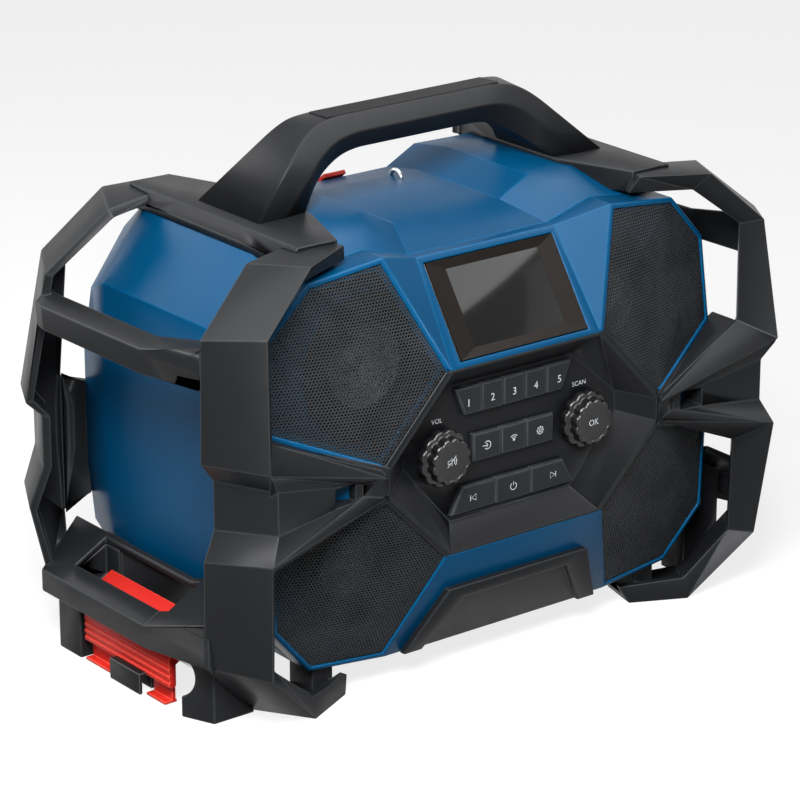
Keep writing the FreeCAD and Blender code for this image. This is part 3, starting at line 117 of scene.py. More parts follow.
class Finish:
    """A material around one Principled shader, in a piece's own coordinates."""

    def __init__(self, name, **constants):
        self.material = bpy.data.materials.new(name)
        self.material.use_nodes = True
        self.tree = self.material.node_tree
        self.shader = self.tree.nodes["Principled BSDF"]
        self.place = self.node("ShaderNodeTexCoord", out="Object")
        self.paint(**constants)

    def node(self, kind, settings=None, sockets=None, out=0):
        """Adds a node, sets it, then gives its sockets values or links; returns one output."""
        node = self.tree.nodes.new(kind)
        for key, value in (settings or {}).items():
            setattr(node, key, value)
        for key, value in (sockets or {}).items():
            connect(node.inputs[key], value)
        return Signal(self.tree, node.outputs[out])

    def paint(self, **values):
        """Base_Color=..., Roughness=... and so on, on the shader's own sockets."""
        for key, value in values.items():
            connect(self.shader.inputs[key.replace("_", " ")], value)

    def noise(self, scale, detail=2.0):
        """Cloudy value round a half; scale is in features per metre."""
        sockets = {"Vector": self.place, "Scale": scale, "Detail": detail}
        return self.node("ShaderNodeTexNoise", sockets=sockets)

    def mix(self, share, first, second):
        """Colour between first and second."""
        sockets = {0: share, 6: first, 7: second}
        return self.node("ShaderNodeMix", {"data_type": "RGBA"}, sockets, out=2)

    def emboss(self, height, depth):
        """Relief on the surface: height 0 to 1 stands for depth, in metres."""
        relief = self.node("ShaderNodeBump", sockets={"Distance": depth, "Height": height})
        self.paint(Normal=relief)


FACE_CLOUDS, FACE_SHARE = 9.0, 0.12
EDGE_RUBS, EDGE_SHARE = 140.0, 0.4
SHEEN_PATCHES, ROUGHNESS_SPAN = 60.0, 0.12
PALER = 1.4


def moulding(name, colour, edge, rough, grain, depth, gloss=0.1):
    """Face and edge finish of a moulded plastic.

    The face is its colour with broad soft clouds and a fine spark texture. The edge is a
    painted highlight: a slightly paler tone, rubbed in small patches. Both take on up to their
    share of a lighter tone where the noise is high, and their roughness wanders round rough.
    """
    finishes = []
    for part, tone, scale, share in (("face", colour, FACE_CLOUDS, FACE_SHARE),
                                     # The edge tone is a painted highlight for the rounded edges;
                                     # its noise patches are rubbed wear.
                                     ("edge", edge, EDGE_RUBS, EDGE_SHARE)):
        finish = Finish(f"{name} {part}", Specular_IOR_Level=gloss)
        patches = finish.noise(scale, 3.0).ramp(0.4, 0.65) * share
        lighter = tuple(min(1.0, c * PALER + 0.001) for c in tone[:3]) + (1.0,)
        finish.paint(Base_Color=finish.mix(patches, tone, lighter))
        uneven = finish.noise(SHEEN_PATCHES, 3.0) * ROUGHNESS_SPAN
        finish.paint(Roughness=uneven + (rough - ROUGHNESS_SPAN / 2))
        finish.emboss(finish.noise(grain, 2.0), depth)
        finishes.append(finish.material)
    return finishes


SAME_CORNER = 0.02 * MM


def rounded(node, width, finishes, crease=12):
    """The solid of a CAD node with soft edges.

    Its loose triangles are joined at shared corners, and each edge that bends more than crease
    degrees is rounded over width metres.
    """
    solid = frame["nodes"][node]
    shape = bmesh.new()
    shape.from_mesh(solid.data)
    bmesh.ops.remove_doubles(shape, verts=shape.verts, dist=SAME_CORNER)
    mesh = bpy.data.meshes.new(f"{node}_skin")
    shape.to_mesh(mesh)
    shape.free()
    mesh.shade_smooth()
    for material in finishes:
        mesh.materials.append(material)
    piece = bpy.data.objects.new(f"{node}_skin", mesh)
    bpy.context.scene.collection.objects.link(piece)
    soft = piece.modifiers.new("soft edges", "BEVEL")
    soft.width = width
    soft.segments = 2
    soft.angle_limit = math.radians(crease)
    soft.use_clamp_overlap = False
    soft.loop_slide = False
    soft.harden_normals = True
    # The rounded strips take the last finish; for a moulding that is its painted edge highlight.
    soft.material = len(finishes) - 1
    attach(piece, solid["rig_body"])
    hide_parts(node)


BLUE = srgb(0, 70, 110)
# Paler blue on the rounded edges: a painted highlight.
BLUE_EDGE_HIGHLIGHT = srgb(2, 78, 120)
HOUSING_EDGE = 0.9 * MM
housing = moulding("blue abs", BLUE, BLUE_EDGE_HIGHLIGHT, rough=0.33, grain=1400.0, depth=0.04 * MM,
                   gloss=0.08)
for node, crease in (("front_housing", 12), ("rear_housing", 24), ("battery_door", 12)):
    rounded(node, HOUSING_EDGE, housing, crease)


# Cage: front and rear guards, side frames, top rails and the skid plate under the console, in
# glass-filled nylon. It is coarser and more matt than the housing, and its ridges carry a painted
# highlight, a paler tone, with scuffed patches on it.
# The front guards' feet end in sharp corners, so their edges are rounded less.
CHARCOAL = srgb(29, 30, 32)
# Paler charcoal on the rounded edges: a painted highlight.
CHARCOAL_EDGE_HIGHLIGHT = srgb(44, 46, 48)
CAGE_EDGE = 1.1 * MM
FRONT_GUARD_EDGE = 0.65 * MM
cage = moulding("charcoal nylon", CHARCOAL, CHARCOAL_EDGE_HIGHLIGHT, rough=0.37, grain=900.0,
                depth=0.05 * MM, gloss=0.08)
for side in ("left", "right"):
    for node, width in (("front_guard", FRONT_GUARD_EDGE), ("rear_guard", CAGE_EDGE),
                        ("side_frame", CAGE_EDGE), ("top_rail", CAGE_EDGE)):
        rounded(f"{node}_{side}", width, cage)
rounded("center_foot", CAGE_EDGE, cage)


# Handle: one nylon moulding on two splayed legs that stand on the rails. Its six ridges run from
# foot to foot and bend smoothly where a leg turns into the grip. Each section is six corners in
# mm, as (x, y, z) on the right leg: inner front, front ridge, top front, top back, back ridge and
# inner back.
GRIP_END = [(62, -18, 350), (64, -27, 364), (77, -16, 374),
            (79, 8, 373), (72, 14, 361), (62, 8, 350)]
SHOULDER = [(86, -20, 336), (84, -28, 357), (97, -20, 366),
            (96, 9, 370), (90, 15, 360), (86, 10, 337)]
FOOT = [(107, -35, 319.5), (126, -38, 319.5), (148, -38, 319.5),
        (148, 32, 319.5), (126, 32, 319.5), (107, 29, 319.5)]
LEG_BEND = 17 * MM
RIDGE_BEND = 1.5 * MM
LEG_STEPS = 9
RIDGE_STEPS = 4
MOST_OF_SPAN = 0.48


def softened(line, reach, steps, closed=False):
    """A line of points with its corners rounded, worked on along the first index.

    Each corner gives way to a parabola from the point that lies reach before the corner to the
    one that lies reach after it, and never takes more than MOST_OF_SPAN of a span.
    """
    before, after = np.roll(line, 1, axis=0), np.roll(line, -1, axis=0)
    ends = []
    for near in (before, after):
        away = near - line
        length = np.linalg.norm(away, axis=-1, keepdims=True)
        ends.append(line + away * np.minimum(reach / np.maximum(length, 1e-9), MOST_OF_SPAN))
    t = np.linspace(0, 1, steps).reshape(1, -1, *[1] * (line.ndim - 1))
    start, middle, end = (part[:, None] for part in (ends[0], line, ends[1]))
    bent = (1 - t) ** 2 * start + 2 * t * (1 - t) * middle + t ** 2 * end
    if closed:
        return bent.reshape(-1, *line.shape[1:])
    inner = bent[1:-1].reshape(-1, *line.shape[1:])
    return np.concatenate([line[:1], inner, line[-1:]])


def woven(rows, columns):
    """Four-sided faces of a grid of points that closes on itself along its second index."""
    i, j = np.meshgrid(np.arange(rows - 1), np.arange(columns), indexing="ij")
    k = (j + 1) % columns
    corners = [i * columns + j, i * columns + k, (i + 1) * columns + k, (i + 1) * columns + j]
    return np.stack([c.ravel() for c in corners], axis=1)


def add_piece(name, points, faces, body, material, stands_for=()):
    """Makes a mesh object from point and face arrays, and lets it ride on a body."""
    mesh = bpy.data.meshes.new(name)
    mesh.from_pydata(points.tolist(), [], [list(face) for face in faces])
    mesh.materials.append(material)
    piece = bpy.data.objects.new(name, mesh)
    bpy.context.scene.collection.objects.link(piece)
    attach(piece, body)
    if stands_for:
        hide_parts(*stands_for)
    return piece


right_leg = np.array([GRIP_END, SHOULDER, FOOT]) * MM
left_leg = right_leg[::-1] * [-1, 1, 1]
ridges = softened(np.concatenate([left_leg, right_leg]), LEG_BEND, LEG_STEPS)
skin = softened(ridges.swapaxes(0, 1), RIDGE_BEND, RIDGE_STEPS, closed=True).swapaxes(0, 1)
rows, columns = skin.shape[:2]
last = (rows - 1) * columns
caps = [list(range(columns))[::-1], list(range(last, last + columns))]
grip = add_piece("handle_skin", skin.reshape(-1, 3), woven(rows, columns).tolist() + caps,
                 "root", cage[0], ["handle"])
grip.data.shade_smooth()


# Grip pad and key mat: soft rubber, duller than the nylon. The pad is moulded over the top of the
# handle, and the mat lies behind the keys.
RUBBER = srgb(18, 19, 20)
# Its second, paler colour is a painted highlight on the rounded edges.
rubber = moulding("grip rubber", RUBBER, srgb(28, 29, 31), rough=0.7, grain=700.0, depth=0.1 * MM)
rounded("handle_grip_pad", 0.5 * MM, rubber)
rounded("key_mat", 0.3 * MM, rubber)


# Console bezel: satin black ABS with sloping walls round the key field. The encoders' bodies and
# the battery's terminal block are moulded in the same black.
PANEL = srgb(21, 22, 24)
# Its second, paler colour is a painted highlight on the rounded edges.
console = moulding("console black", PANEL, srgb(36, 38, 41), rough=0.34, grain=1700.0,
                   depth=0.03 * MM)
rounded("console_bezel", 0.5 * MM, console, crease=8)
rounded("encoder_bodies", 0.2 * MM, console, crease=25)
rounded("battery_terminal_block", 0.4 * MM, console)


# Display: a smoked lens over the display module. A sloping frame of dark bronze runs round the
# picture area, which is nearly black; its rings are in mm.
FRAME_RINGS = [(0.3, 0.3, 0.0), (0.3, 0.3, 1.2), (15.5, 7.0, 0.08)]


def framed(node, rings):
    """Four-cornered rings on a tilted plate, each given as aside, ahead and rise in metres.

    The plate's front face is the plane through its foremost edge and its highest one. A ring is
    the four corners of that face, drawn in by aside from the left and right and by ahead from
    the top and bottom, then lifted by rise along the face's normal; four-sided faces join each
    ring to the next.
    """
    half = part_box(node)[1].x
    corners = np.array([vertex.co[:] for vertex in frame["nodes"][node].data.vertices])
    bottom = corners[corners[:, 1].argmin()]
    top = corners[corners[:, 2].argmax()]
    up = np.array([0, top[1] - bottom[1], top[2] - bottom[2]])
    tall = np.linalg.norm(up)
    up /= tall
    outward = np.array([0, -up[2], up[1]])
    points = []
    for aside, ahead, rise in rings:
        for x, along in ((-1, 0), (1, 0), (1, 1), (-1, 1)):
            climb = ahead if along == 0 else tall - ahead
            spot = np.array([x * (half - aside), bottom[1], bottom[2]])
            points.append(spot + up * climb + outward * rise)
    faces = [(4 * i + j, 4 * i + (j + 1) % 4, 4 * i + 4 + (j + 1) % 4, 4 * i + 4 + j)
             for i in range(len(rings) - 1) for j in range(4)]
    return np.array(points), faces


lens = Finish("smoked lens", Roughness=0.1, Specular_IOR_Level=0.16)
lens.paint(Base_Color=lens.mix(lens.noise(6.0).ramp(0.35, 0.65), srgb(16, 16, 17),
                               srgb(24, 24, 25)))
rounded("display_lens", 0.4 * MM, [lens.material])
bronze = Finish("dark bronze", Roughness=0.34, Specular_IOR_Level=0.07)
bronze.paint(Base_Color=bronze.mix(bronze.noise(900.0).ramp(0.4, 0.6), srgb(17, 13, 11),
                                   srgb(23, 18, 15)))
spots, panels = framed("display_lens", np.array(FRAME_RINGS) * MM)
add_piece("display_frame", spots, panels, "root", bronze.material)
module = Finish("display module", Base_Color=srgb(12, 12, 14), Roughness=0.3)
frame["nodes"]["display_module"].data.materials[0] = module.material


# Perforated grilles: steel sheet, painted black, folded along the creases of the front and
# punched with round holes in staggered rows. FRONT gives the creases' corners on the right side
# in mm, and a facet is three of them.
FRONT = {
    "screen_low": (64, -137, 227),
    "top_inner": (98, -106, 304),
    "top_outer": (157, -103, 297),
    "side_top": (189, -100, 263),
    "side_upper": (195, -103, 200),
    "vertex_upper": (118, -137, 169),
    "vertex_lower": (118, -137, 151),
    "side_lower": (195, -103, 120),
    "side_low": (190, -106, 62),
    "low_outer": (158, -103, 26),
    "low_inner": (97, -106, 21),
    "console_low": (65, -137, 97),
}
UPPER = [
    ("top_inner", "top_outer", "screen_low"),
    ("top_outer", "vertex_upper", "screen_low"),
    ("top_outer", "side_top", "vertex_upper"),
    ("side_top", "side_upper", "vertex_upper"),
]
LOWER = [
    ("vertex_lower", "side_lower", "side_low"),
    ("vertex_lower", "side_low", "low_outer"),
    ("vertex_lower", "low_outer", "console_low"),
    ("console_low", "low_outer", "low_inner"),
]
UPPER_RING = ["screen_low", "top_inner", "top_outer", "side_top", "side_upper", "vertex_upper"]
LOWER_RING = ["vertex_lower", "side_lower", "side_low", "low_outer", "low_inner", "console_low"]
SHEET_DEPTH = 1.3 * MM
SHEET_THICKNESS = 0.8 * MM
HOLE_PITCH = 2.3 * MM
HOLE_RADIUS = 0.84 * MM
SEAT_MARGIN = 3.2 * MM
HOLE_SIDES = 12
mesh_paint = Finish("black mesh paint", Specular_IOR_Level=0.15)
mesh_paint.paint(Base_Color=mesh_paint.mix(
    mesh_paint.noise(30.0).ramp(0.4, 0.6), srgb(34, 36, 38), srgb(44, 46, 49)))
mesh_paint.paint(Roughness=mesh_paint.noise(200.0) * 0.2 + 0.4)


def corner(name):
    """Corner of the faceted front on the right side, in metres."""
    return np.array(FRONT[name]) * MM


def shares(points, facet):
    """Shares of a facet's three corners at each (x, z) point, by the areas of the three
    triangles that the point makes with the facet's sides."""
    a, b, c = (corner(name)[[0, 2]] for name in facet)
    area = (b[0] - a[0]) * (c[1] - a[1]) - (c[0] - a[0]) * (b[1] - a[1])
    at_b = ((points[:, 0] - a[0]) * (c[1] - a[1]) - (c[0] - a[0]) * (points[:, 1] - a[1])) / area
    at_c = ((b[0] - a[0]) * (points[:, 1] - a[1]) - (points[:, 0] - a[0]) * (b[1] - a[1])) / area
    return np.stack([1 - at_b - at_c, at_b, at_c], axis=1)


def sheet_front(points, facets):
    """Depth of the folded sheet at each (x, z) point: the facet that holds the point best is
    the one whose smallest corner share is largest, and the depth is that facet's plane."""
    weights = np.stack([shares(points, facet) for facet in facets])
    best = weights.min(axis=2).argmax(axis=0)
    depths = np.stack([
        weights[i] @ np.array([corner(name)[1] for name in facet])
        for i, facet in enumerate(facets)
    ])
    return depths[best, np.arange(len(points))] + SHEET_DEPTH


def inside(points, names, margin):
    """Whether each (x, z) point lies inside the outline, at least margin from its sides."""
    ring = np.array([corner(name)[[0, 2]] for name in names])
    ahead = np.roll(ring, -1, axis=0) - ring
    normal = np.stack([ahead[:, 1], -ahead[:, 0]], axis=1)
    normal /= np.linalg.norm(normal, axis=1, keepdims=True)
    if np.sum(normal * (ring.mean(axis=0) - ring)) < 0:
        normal = -normal
    away = np.einsum("pij,ij->pi", points[:, None, :] - ring[None], normal)
    return away.min(axis=1) > margin


def punched_sheet(name, node, facets, outline, hand):
    """Sheet with holes in staggered rows.

    Each hole has its own six-sided cell of sheet: a ring of faces from the cell's rim to the
    hole, and as many more down the hole's wall. The rim lies at half the pitch over the cosine
    of the angle to the nearest middle of a cell's side. A cell lies flat in the front view, and
    each of its points takes the depth of the folded sheet there.
    """
    low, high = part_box(node)
    low_x, high_x = sorted(abs(x) for x in (low.x, high.x))
    row_pitch = HOLE_PITCH * math.sqrt(3) / 2
    columns = np.arange(low_x - HOLE_PITCH, high_x + HOLE_PITCH, HOLE_PITCH)
    rows = np.arange(low.z - row_pitch, high.z + row_pitch, row_pitch)
    x, z = np.meshgrid(columns, rows)
    x = x + (np.arange(len(rows)) % 2)[:, None] * HOLE_PITCH / 2
    centres = np.stack([x.ravel(), z.ravel()], axis=1)
    centres = centres[inside(centres, outline, SEAT_MARGIN)]
    turn = np.arange(HOLE_SIDES) * 2 * math.pi / HOLE_SIDES
    reach = HOLE_PITCH / 2 / np.cos((turn + math.pi / 6) % (math.pi / 3) - math.pi / 6)
    circle = np.stack([np.cos(turn), np.sin(turn)], axis=1)
    rim = centres[:, None] + circle * reach[:, None]
    hole = centres[:, None] + circle * HOLE_RADIUS
    flat = np.stack([rim, hole, hole], axis=1)
    depth = sheet_front(flat.reshape(-1, 2), facets)
    depth = depth.reshape(len(centres), 3, HOLE_SIDES)
    depth[:, 2] += SHEET_THICKNESS
    points = np.stack([flat[..., 0] * hand, depth, flat[..., 1]], axis=-1).reshape(-1, 3)
    step = np.arange(HOLE_SIDES)
    after = (step + 1) % HOLE_SIDES
    ring = np.stack([step, after, after + HOLE_SIDES, step + HOLE_SIDES], axis=1)
    cell = np.concatenate([ring, ring + HOLE_SIDES])
    if hand < 0:
        cell = cell[:, ::-1]
    faces = (np.arange(len(centres))[:, None, None] * 3 * HOLE_SIDES + cell).reshape(-1, 4)
    add_piece(name, points, faces.tolist(), "root", mesh_paint.material, [node])


for side, hand in (("left", -1), ("right", 1)):
    punched_sheet(f"mesh_upper_{side}", f"grille_upper_{side}", UPPER, UPPER_RING, hand)
    punched_sheet(f"mesh_lower_{side}", f"grille_lower_{side}", LOWER, LOWER_RING, hand)


# Speakers: pressed steel baskets on a baffle of the housing's blue ABS. Each cone is pulp paper
# with pressed rings, held by a rubber roll at its edge and closed by a dome at its centre. The
# shares are of the cone's radius: the dome ends at DOME, the slope at SLOPE_END, and the roll is
# centred on ROLL with half its width to either side.
PROFILE_POINTS = 60
ROLL_ROW = 47
DOME, SLOPE_END, RINGS_END = 0.28, 0.8, 0.76
DOME_RISE = 0.16
ROLL, ROLL_HALF = 0.87, 0.07
ROLL_HIGH = 2.4 * MM
RIM_BACK = 1.5 * MM
CONE_SET_BACK = 1.0 * MM
CONE_CLEARANCE = 3 * MM
RING_HIGH, RING_TURNS = 0.6 * MM, 46
frame["nodes"]["speaker_baffle"].data.materials[0] = housing[0]
# Its second, paler colour is a painted highlight on the rounded edges.
basket = moulding("basket steel", srgb(20, 21, 22), srgb(34, 35, 37), rough=0.4, grain=500.0,
                  depth=0.02 * MM)
cone = Finish("pulp cone", Roughness=0.7, Specular_IOR_Level=0.2)
cone.paint(Base_Color=cone.mix(cone.noise(900.0, 3.0), srgb(92, 94, 97), srgb(118, 120, 123)))
cone.emboss(cone.noise(1500.0), 0.05 * MM)


def turned(profile, centre, steps=72):
    """Surface of a (radius, depth) profile turned round an axis along Y through centre.

    Point (i, j) is profile point i at angle j; depth runs towards the back.
    """
    turn = np.arange(steps) * 2 * math.pi / steps
    radius = profile[:, 0][:, None]
    x = centre[0] + radius * np.cos(turn)
    z = centre[2] + radius * np.sin(turn)
    y = np.broadcast_to(centre[1] + profile[:, 1][:, None], x.shape)
    return np.stack([x, y, z], axis=-1)


def cone_profile(radius, depth):
    """Profile from the centre out: a dome, a sloping cone with three pressed rings, a half-round
    roll and a flat rim. Depth 0 is the front of the basket."""
    share = np.linspace(0, 1, PROFILE_POINTS)
    slope = depth * (1 - (share - DOME) / (SLOPE_END - DOME))
    ribs = RING_HIGH * np.cos((share - DOME) * RING_TURNS) * (share < RINGS_END)
    cap = depth - DOME_RISE * radius * (1 - (share / DOME) ** 2)
    arch = np.sqrt(np.clip(1 - ((share - ROLL) / ROLL_HALF) ** 2, 0, 1))
    roll = RIM_BACK - ROLL_HIGH * arch
    back = np.select([share < DOME, share < SLOPE_END], [cap, slope + ribs], roll)
    return np.stack([share * radius, back], axis=1)


for side in ("left", "right"):
    for level in ("upper", "lower"):
        rounded(f"speaker_frame_{level}_{side}", 0.3 * MM, basket, crease=25)
        node = f"speaker_cone_{level}_{side}"
        low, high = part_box(node)
        radius = (high.x - low.x) / 2
        depth = (high.y - low.y) - CONE_CLEARANCE
        centre = ((low.x + high.x) / 2, low.y + CONE_SET_BACK, (low.z + high.z) / 2)
        grid = turned(cone_profile(radius, depth), centre)
        for name, part, look in (("diaphragm", grid[:ROLL_ROW + 1], cone.material),
                                 ("roll", grid[ROLL_ROW:], rubber[0])):
            piece = add_piece(f"{name}_{level}_{side}", part.reshape(-1, 3),
                              woven(*part.shape[:2]), "root", look, [node])
            piece.data.shade_smooth()


# Circuit board behind the keys: green lacquer over fine copper tracks. It is hidden unless the
# console is taken off.
board = Finish("green lacquer", Roughness=0.35)
tracks = board.noise(300.0, 0.0).ramp(0.5, 0.53)
board.paint(Base_Color=board.mix(tracks, srgb(14, 62, 38), srgb(34, 98, 60)))
frame["nodes"]["circuit_board"].data.materials[0] = board.material


# Knobs: black acetal in two tiers, with twelve scallops round both. The face is a shallow dish
# inside a raised rim, and each stands on a steel shaft that turns in a sliding sleeve. The
# profile is (radius, height) in mm, and the scallops start outside the rim's inner edge.
FLUTES = 12
FLUTE_DEPTH = 1.5 * MM
FLUTES_FROM, FLUTES_FULL = 13.6 * MM, 14.6 * MM
KNOB_STEPS = 192
knob_finish = Finish("knob acetal", Roughness=0.3, Specular_IOR_Level=0.4)
knob_finish.paint(Base_Color=knob_finish.mix(
    knob_finish.noise(120.0, 3.0).ramp(0.4, 0.7), srgb(14, 14, 16), srgb(22, 22, 25)))
knob_finish.emboss(knob_finish.noise(2500.0), 0.01 * MM)
steel = Finish("bright steel", Metallic=1.0)
steel.paint(Base_Color=steel.mix(steel.noise(80.0), srgb(150, 152, 155), srgb(190, 192, 195)))
steel.paint(Roughness=steel.noise(400.0) * 0.2 + 0.22)
KNOB_PROFILE = np.array([
    (0, 0), (19.4, 0), (20.1, 0.5), (20.3, 1.4), (20.2, 4.6), (19.7, 5.6), (18.8, 6.0),
    (16.6, 6.2), (16.4, 6.6), (16.4, 11.6), (16.1, 12.5), (15.4, 13.2), (14.6, 13.5),
    (13.9, 13.3), (13.4, 12.9), (12.6, 12.7), (6, 12.7), (0, 12.7),
]) * MM
for name in ("volume", "tuning"):
    node = f"{name}_knob"
    low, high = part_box(node)
    centre = ((low.x + high.x) / 2, high.y, (low.z + high.z) / 2)
    grid = turned(KNOB_PROFILE * [1, -1], centre, steps=KNOB_STEPS)
    turn = np.arange(KNOB_STEPS) * 2 * math.pi / KNOB_STEPS
    scallop = FLUTE_DEPTH * (0.5 + 0.5 * np.cos(FLUTES * turn)) ** 2
    past = (KNOB_PROFILE[:, 0] - FLUTES_FROM) / (FLUTES_FULL - FLUTES_FROM)
    depth_share = np.clip(past, 0, 1)
    grid[..., 0] -= depth_share[:, None] * scallop * np.cos(turn)
    grid[..., 2] -= depth_share[:, None] * scallop * np.sin(turn)
    rows, columns = grid.shape[:2]
    faces = woven(rows, columns)[:, ::-1]
    piece = add_piece(f"{name}_cap", grid.reshape(-1, 3), faces, node, knob_finish.material,
                      [node])
    piece.data.shade_smooth()
    frame["nodes"][f"{name}_shaft"].data.materials[0] = steel.material
for side in ("left", "right"):
    frame["nodes"][f"encoder_sleeve_{side}"].data.materials[0] = steel.material
for node in ("hinge_pins", "housing_screws", "tether_eye"):
    rounded(node, 0.2 * MM, [steel.material], crease=30)


# Keys: charcoal mouldings with soft edges that stand in the rubber mat. Five presets lie above
# three menu keys and three play keys.
# Its second, paler colour is a painted highlight on the keys' rounded edges.
keys = moulding("key charcoal", srgb(36, 38, 41), srgb(58, 60, 64), rough=0.42, grain=1500.0,
                depth=0.03 * MM)
PRESETS = [f"preset_{i}_key" for i in range(1, 6)]
MENU = ["source_key", "wireless_key", "settings_key", "previous_key", "power_key", "next_key"]
for node in PRESETS + MENU:
    rounded(node, 0.6 * MM, keys, crease=20)


# Legends: pale grey print on the keys, the knobs and the console, a few hundredths of a
# millimetre proud. Plain numbers, short words and generic signs, drawn as bands along paths.
PRINT_RISE = 0.06 * MM
STROKE = 0.55 * MM
ink = Finish("pale print", Roughness=0.5)
ink.paint(Base_Color=ink.mix(ink.noise(800.0).ramp(0.4, 0.7), srgb(214, 217, 220),
                             srgb(190, 193, 197)))


def lettering(words, tall):
    """Flat outline of words, as (u, v) points and faces, centred and scaled to its height."""
    text = bpy.data.curves.new("legend", "FONT")
    text.body = words
    holder = bpy.data.objects.new("legend", text)
    bpy.context.scene.collection.objects.link(holder)
    graph = bpy.context.evaluated_depsgraph_get()
    mesh = bpy.data.meshes.new_from_object(holder.evaluated_get(graph))
    bpy.data.objects.remove(holder)
    points = np.array([vertex.co[:2] for vertex in mesh.vertices])
    faces = [list(face.vertices) for face in mesh.polygons]
    low, high = points.min(axis=0), points.max(axis=0)
    return (points - (low + high) / 2) * tall / (high[1] - low[1]), faces


def stroke(path, width=STROKE, closed=False):
    """Band of even width along a path of (u, v) points in mm: each point gives two, set off to
    either side along the normal of the path there."""
    path = np.array(path) * MM
    if closed:
        ahead = np.roll(path, -1, axis=0) - np.roll(path, 1, axis=0)
    else:
        ahead = np.gradient(path, axis=0)
    ahead /= np.linalg.norm(ahead, axis=1, keepdims=True)
    normal = np.stack([-ahead[:, 1], ahead[:, 0]], axis=1) * width / 2
    count = len(path)
    points = np.concatenate([path + normal, path - normal])
    i = np.arange(count if closed else count - 1)
    j = (i + 1) % count
    return points, np.stack([i, i + count, j + count, j], axis=1).tolist()


def arc(radius, start, end, centre=(0, 0), steps=24):
    """Points on a circle from start to end, in degrees."""
    turn = np.radians(np.linspace(start, end, steps))
    return np.stack([centre[0] + radius * np.cos(turn), centre[1] + radius * np.sin(turn)], axis=1)


def printed(name, marks, body, centre):
    """Legend of several marks as one thin piece on a front-facing surface.

    Mark point (u, v) goes to x = u, z = v from the centre, just proud of the surface.
    """
    points, faces = [], []
    start = 0
    for mark_points, mark_faces in marks:
        faces += [[index + start for index in face] for face in mark_faces]
        points.append(mark_points)
        start += len(mark_points)
    flat = np.concatenate(points)
    level = np.full(len(flat), centre[1] - PRINT_RISE)
    spots = np.stack([flat[:, 0] + centre[0], level, flat[:, 1] + centre[2]], axis=1)
    add_piece(name, spots, faces, body, ink.material)


def face_centre(node):
    """Middle of a node's front face."""
    low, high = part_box(node)
    return ((low.x + high.x) / 2, low.y, (low.z + high.z) / 2)


PRESET_DIGIT, PRESET_DROP = 5.2 * MM, 1.5 * MM
for i, node in enumerate(PRESETS, start=1):
    x, y, z = face_centre(node)
    printed(f"legend_{i}", [lettering(str(i), PRESET_DIGIT)], node, (x, y, z - PRESET_DROP))
BAR = np.array([(-2.6, -2), (-2.6, 2)])
TRIANGLE = np.array([(2.2, -2.2), (2.2, 2.2), (-2, 0)])
FLIP = np.array([-1, 1])
TOOTH = 1.1 * MM
cog = [stroke(arc(2.3, 0, 345), closed=True), stroke(arc(1.0, 0, 345), closed=True)]
for turn in np.radians(np.arange(0, 360, 45)):
    ray = np.array([np.cos(turn), np.sin(turn)])
    cog.append(stroke([ray * 2.3, ray * 3.1], TOOTH))
MARKS = {
    "source_key": [
        stroke(arc(2.8, -140, 140)),
        stroke([(-4.2, 0), (0.6, 0)]),
        stroke([(-0.9, 1.4), (0.6, 0), (-0.9, -1.4)]),
    ],
    "wireless_key": [
        stroke(arc(3.9, 45, 135, (0, -2))),
        stroke(arc(2.4, 45, 135, (0, -2))),
        stroke(arc(0.5, 0, 345, (0, -1.4)), 0.9 * MM, closed=True),
    ],
    "settings_key": cog,
    "previous_key": [stroke(BAR), stroke(TRIANGLE, closed=True)],
    "power_key": [stroke(arc(2.6, 125, 415)), stroke([(0, 0.6), (0, 3.4)])],
    "next_key": [stroke(BAR * FLIP), stroke(TRIANGLE * FLIP, closed=True)],
}
for node, marks in MARKS.items():
    printed(node.replace("_key", "_mark"), marks, node, face_centre(node))
SPEAKER = [(-3.4, -1.1), (-2.0, -1.1), (-0.2, -2.8), (-0.2, 2.8), (-2.0, 1.1), (-3.4, 1.1)]
mute = [
    stroke(SPEAKER, closed=True),
    stroke(arc(2.2, -45, 45)),
    stroke(arc(3.8, -45, 45)),
    stroke([(-3.8, -3.4), (3.4, 3.6)]),
]
DISH = KNOB_PROFILE[-1][1]
for name, marks in (("volume", mute), ("tuning", [lettering("OK", 4.2 * MM)])):
    low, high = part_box(f"{name}_knob")
    spot = ((low.x + high.x) / 2, high.y - DISH, (low.z + high.z) / 2)
    printed(f"{name}_print", marks, f"{name}_knob", spot)
PANEL_FRONT, WORDS_HIGH = -120 * MM, 187 * MM
for words, x in (("VOL", -64 * MM), ("SCAN", 60 * MM)):
    printed(f"print_{words.lower()}", [lettering(words, 3.3 * MM)], "root",
            (x, PANEL_FRONT, WORDS_HIGH))


# Battery pack: a black case in the bay behind the battery door. It shows only when the door
# stands open.
# Its second, paler colour is a painted highlight on the rounded edges.
battery = moulding("battery case", srgb(26, 27, 30), srgb(60, 62, 66), rough=0.5, grain=900.0,
                   depth=0.06 * MM)
rounded("battery_pack", 1.0 * MM, battery)


# Latches: red nylon levers that fold out at both sides, with a black hook on each, and a red
# thumb tab at the top of the battery door.
RED = srgb(196, 38, 30)
# The second, paler colour of each is a painted highlight on the rounded edges.
latch = moulding("signal red", RED, srgb(226, 78, 62), rough=0.4, grain=1100.0, depth=0.04 * MM)
hook = moulding("hook black", srgb(22, 23, 25), srgb(70, 72, 76), rough=0.38, grain=900.0,
                depth=0.04 * MM)
rounded("door_latch", 0.5 * MM, latch)
for side in ("left", "right"):
    rounded(f"stack_lever_{side}", 0.5 * MM, latch)
    rounded(f"stack_hook_{side}", 0.5 * MM, hook)


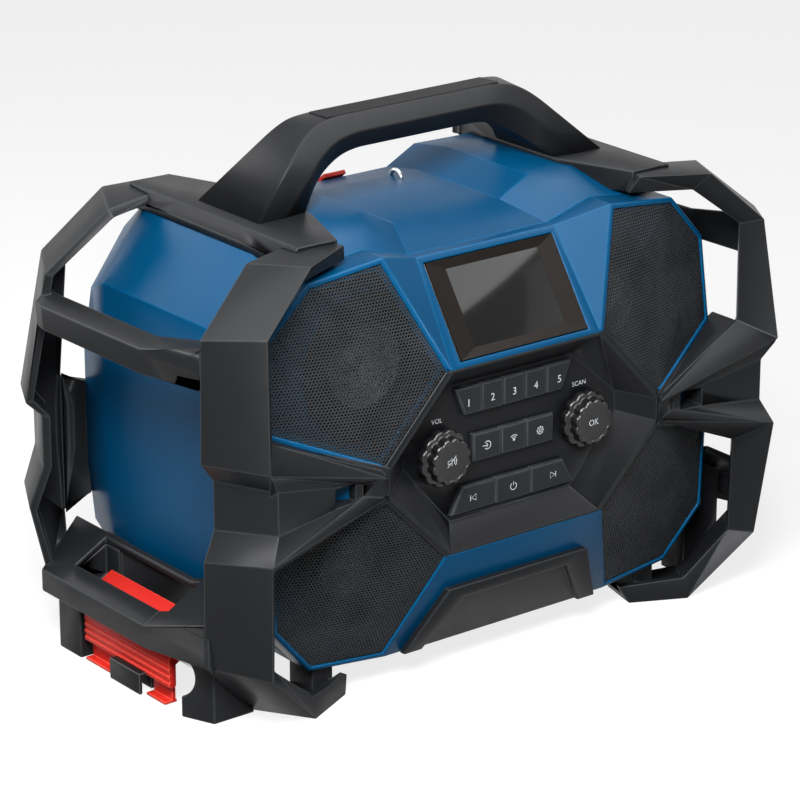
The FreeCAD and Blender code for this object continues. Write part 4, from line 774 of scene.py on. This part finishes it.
# Studio: a pale floor that looks white to the camera, a white surround, a key lamp high on the
# left, weaker lamps behind and on the right, and a wide cloth overhead that shows only as a
# sheen on the plastics. The camera stands where the photograph was taken.
FLOOR_REACH = 6.0
FLOOR_CORNERS = np.array([(-1, -1, 0), (1, -1, 0), (1, 1, 0), (-1, 1, 0)]) * FLOOR_REACH
floor = bpy.data.meshes.new("floor")
floor.from_pydata(FLOOR_CORNERS.tolist(), [], [(0, 1, 2, 3)])
paper = Finish("pale floor", Base_Color=srgb(140, 141, 142), Roughness=0.9,
               Specular_IOR_Level=0.0, Emission_Strength=1.0)
sight = paper.node("ShaderNodeLightPath", out="Is Camera Ray")
shown = sight.math("MAXIMUM", sight, paper.node("ShaderNodeLightPath", out="Is Glossy Ray"))
paper.paint(Emission_Color=paper.mix(shown, (0, 0, 0, 1), (0.8, 0.8, 0.8, 1)))
floor.materials.append(paper.material)
stage = bpy.data.objects.new("floor", floor)
bpy.context.scene.collection.objects.link(stage)

world = bpy.data.worlds.new("surround")
bpy.context.scene.world = world
world.use_nodes = True
nodes = world.node_tree.nodes
light_path = nodes.new("ShaderNodeLightPath")
seen = Signal(world.node_tree, light_path.outputs["Is Camera Ray"])
shine = Signal(world.node_tree, light_path.outputs["Is Glossy Ray"])
through = Signal(world.node_tree, light_path.outputs["Is Transmission Ray"])
AMBIENT = 0.08
direct = seen.math("MAXIMUM", seen, shine.math("MAXIMUM", shine, through))
background = nodes["Background"]
background.inputs["Color"].default_value = (1, 1, 1, 1)
connect(background.inputs["Strength"], direct * (1 - AMBIENT) + AMBIENT)


def lamp(name, place, aim, size, power, sheen_only=False):
    """Square soft lamp at place, turned to face aim. It may light by its reflection alone."""
    data = bpy.data.lights.new(name, "AREA")
    data.size = size
    data.energy = power
    holder = bpy.data.objects.new(name, data)
    bpy.context.scene.collection.objects.link(holder)
    holder.location = place
    holder.visible_camera = False
    holder.visible_diffuse = not sheen_only
    direction = np.array(aim) - np.array(place)
    flat = math.hypot(direction[0], direction[1])
    holder.rotation_euler = (math.atan2(flat, -direction[2]), 0,
                             math.atan2(-direction[0], direction[1]))


lamp("key lamp", (-0.72, -0.8, 1.06), (-0.05, 0, 0.2), size=0.5, power=30)
lamp("side lamp", (-0.7, 1.03, 0.76), (-0.1, 0, 0.22), size=0.8, power=9)
lamp("fill lamp", (2.2, -0.9, 1.6), (0, 0, 0.2), size=1.2, power=4)
lamp("ceiling cloth", (-0.6, -1.4, 2.3), (-0.6, -1.39, 0), size=4.6, power=520,
     sheen_only=True)

CAMERA_PLACE = (-1.4528, -1.8598, 1.0074)
CAMERA_TURN = (70.112, 0, -37.974)
FOCAL_LENGTH = 161.2
eye = bpy.data.cameras.new("photo camera")
eye.lens = FOCAL_LENGTH
eye.sensor_width = 36
camera = bpy.data.objects.new("photo camera", eye)
bpy.context.scene.collection.objects.link(camera)
camera.location = CAMERA_PLACE
camera.rotation_euler = [math.radians(angle) for angle in CAMERA_TURN]
bpy.context.scene.camera = camera
bpy.context.scene.view_settings.view_transform = "Standard"

bpy.context.view_layer.update()
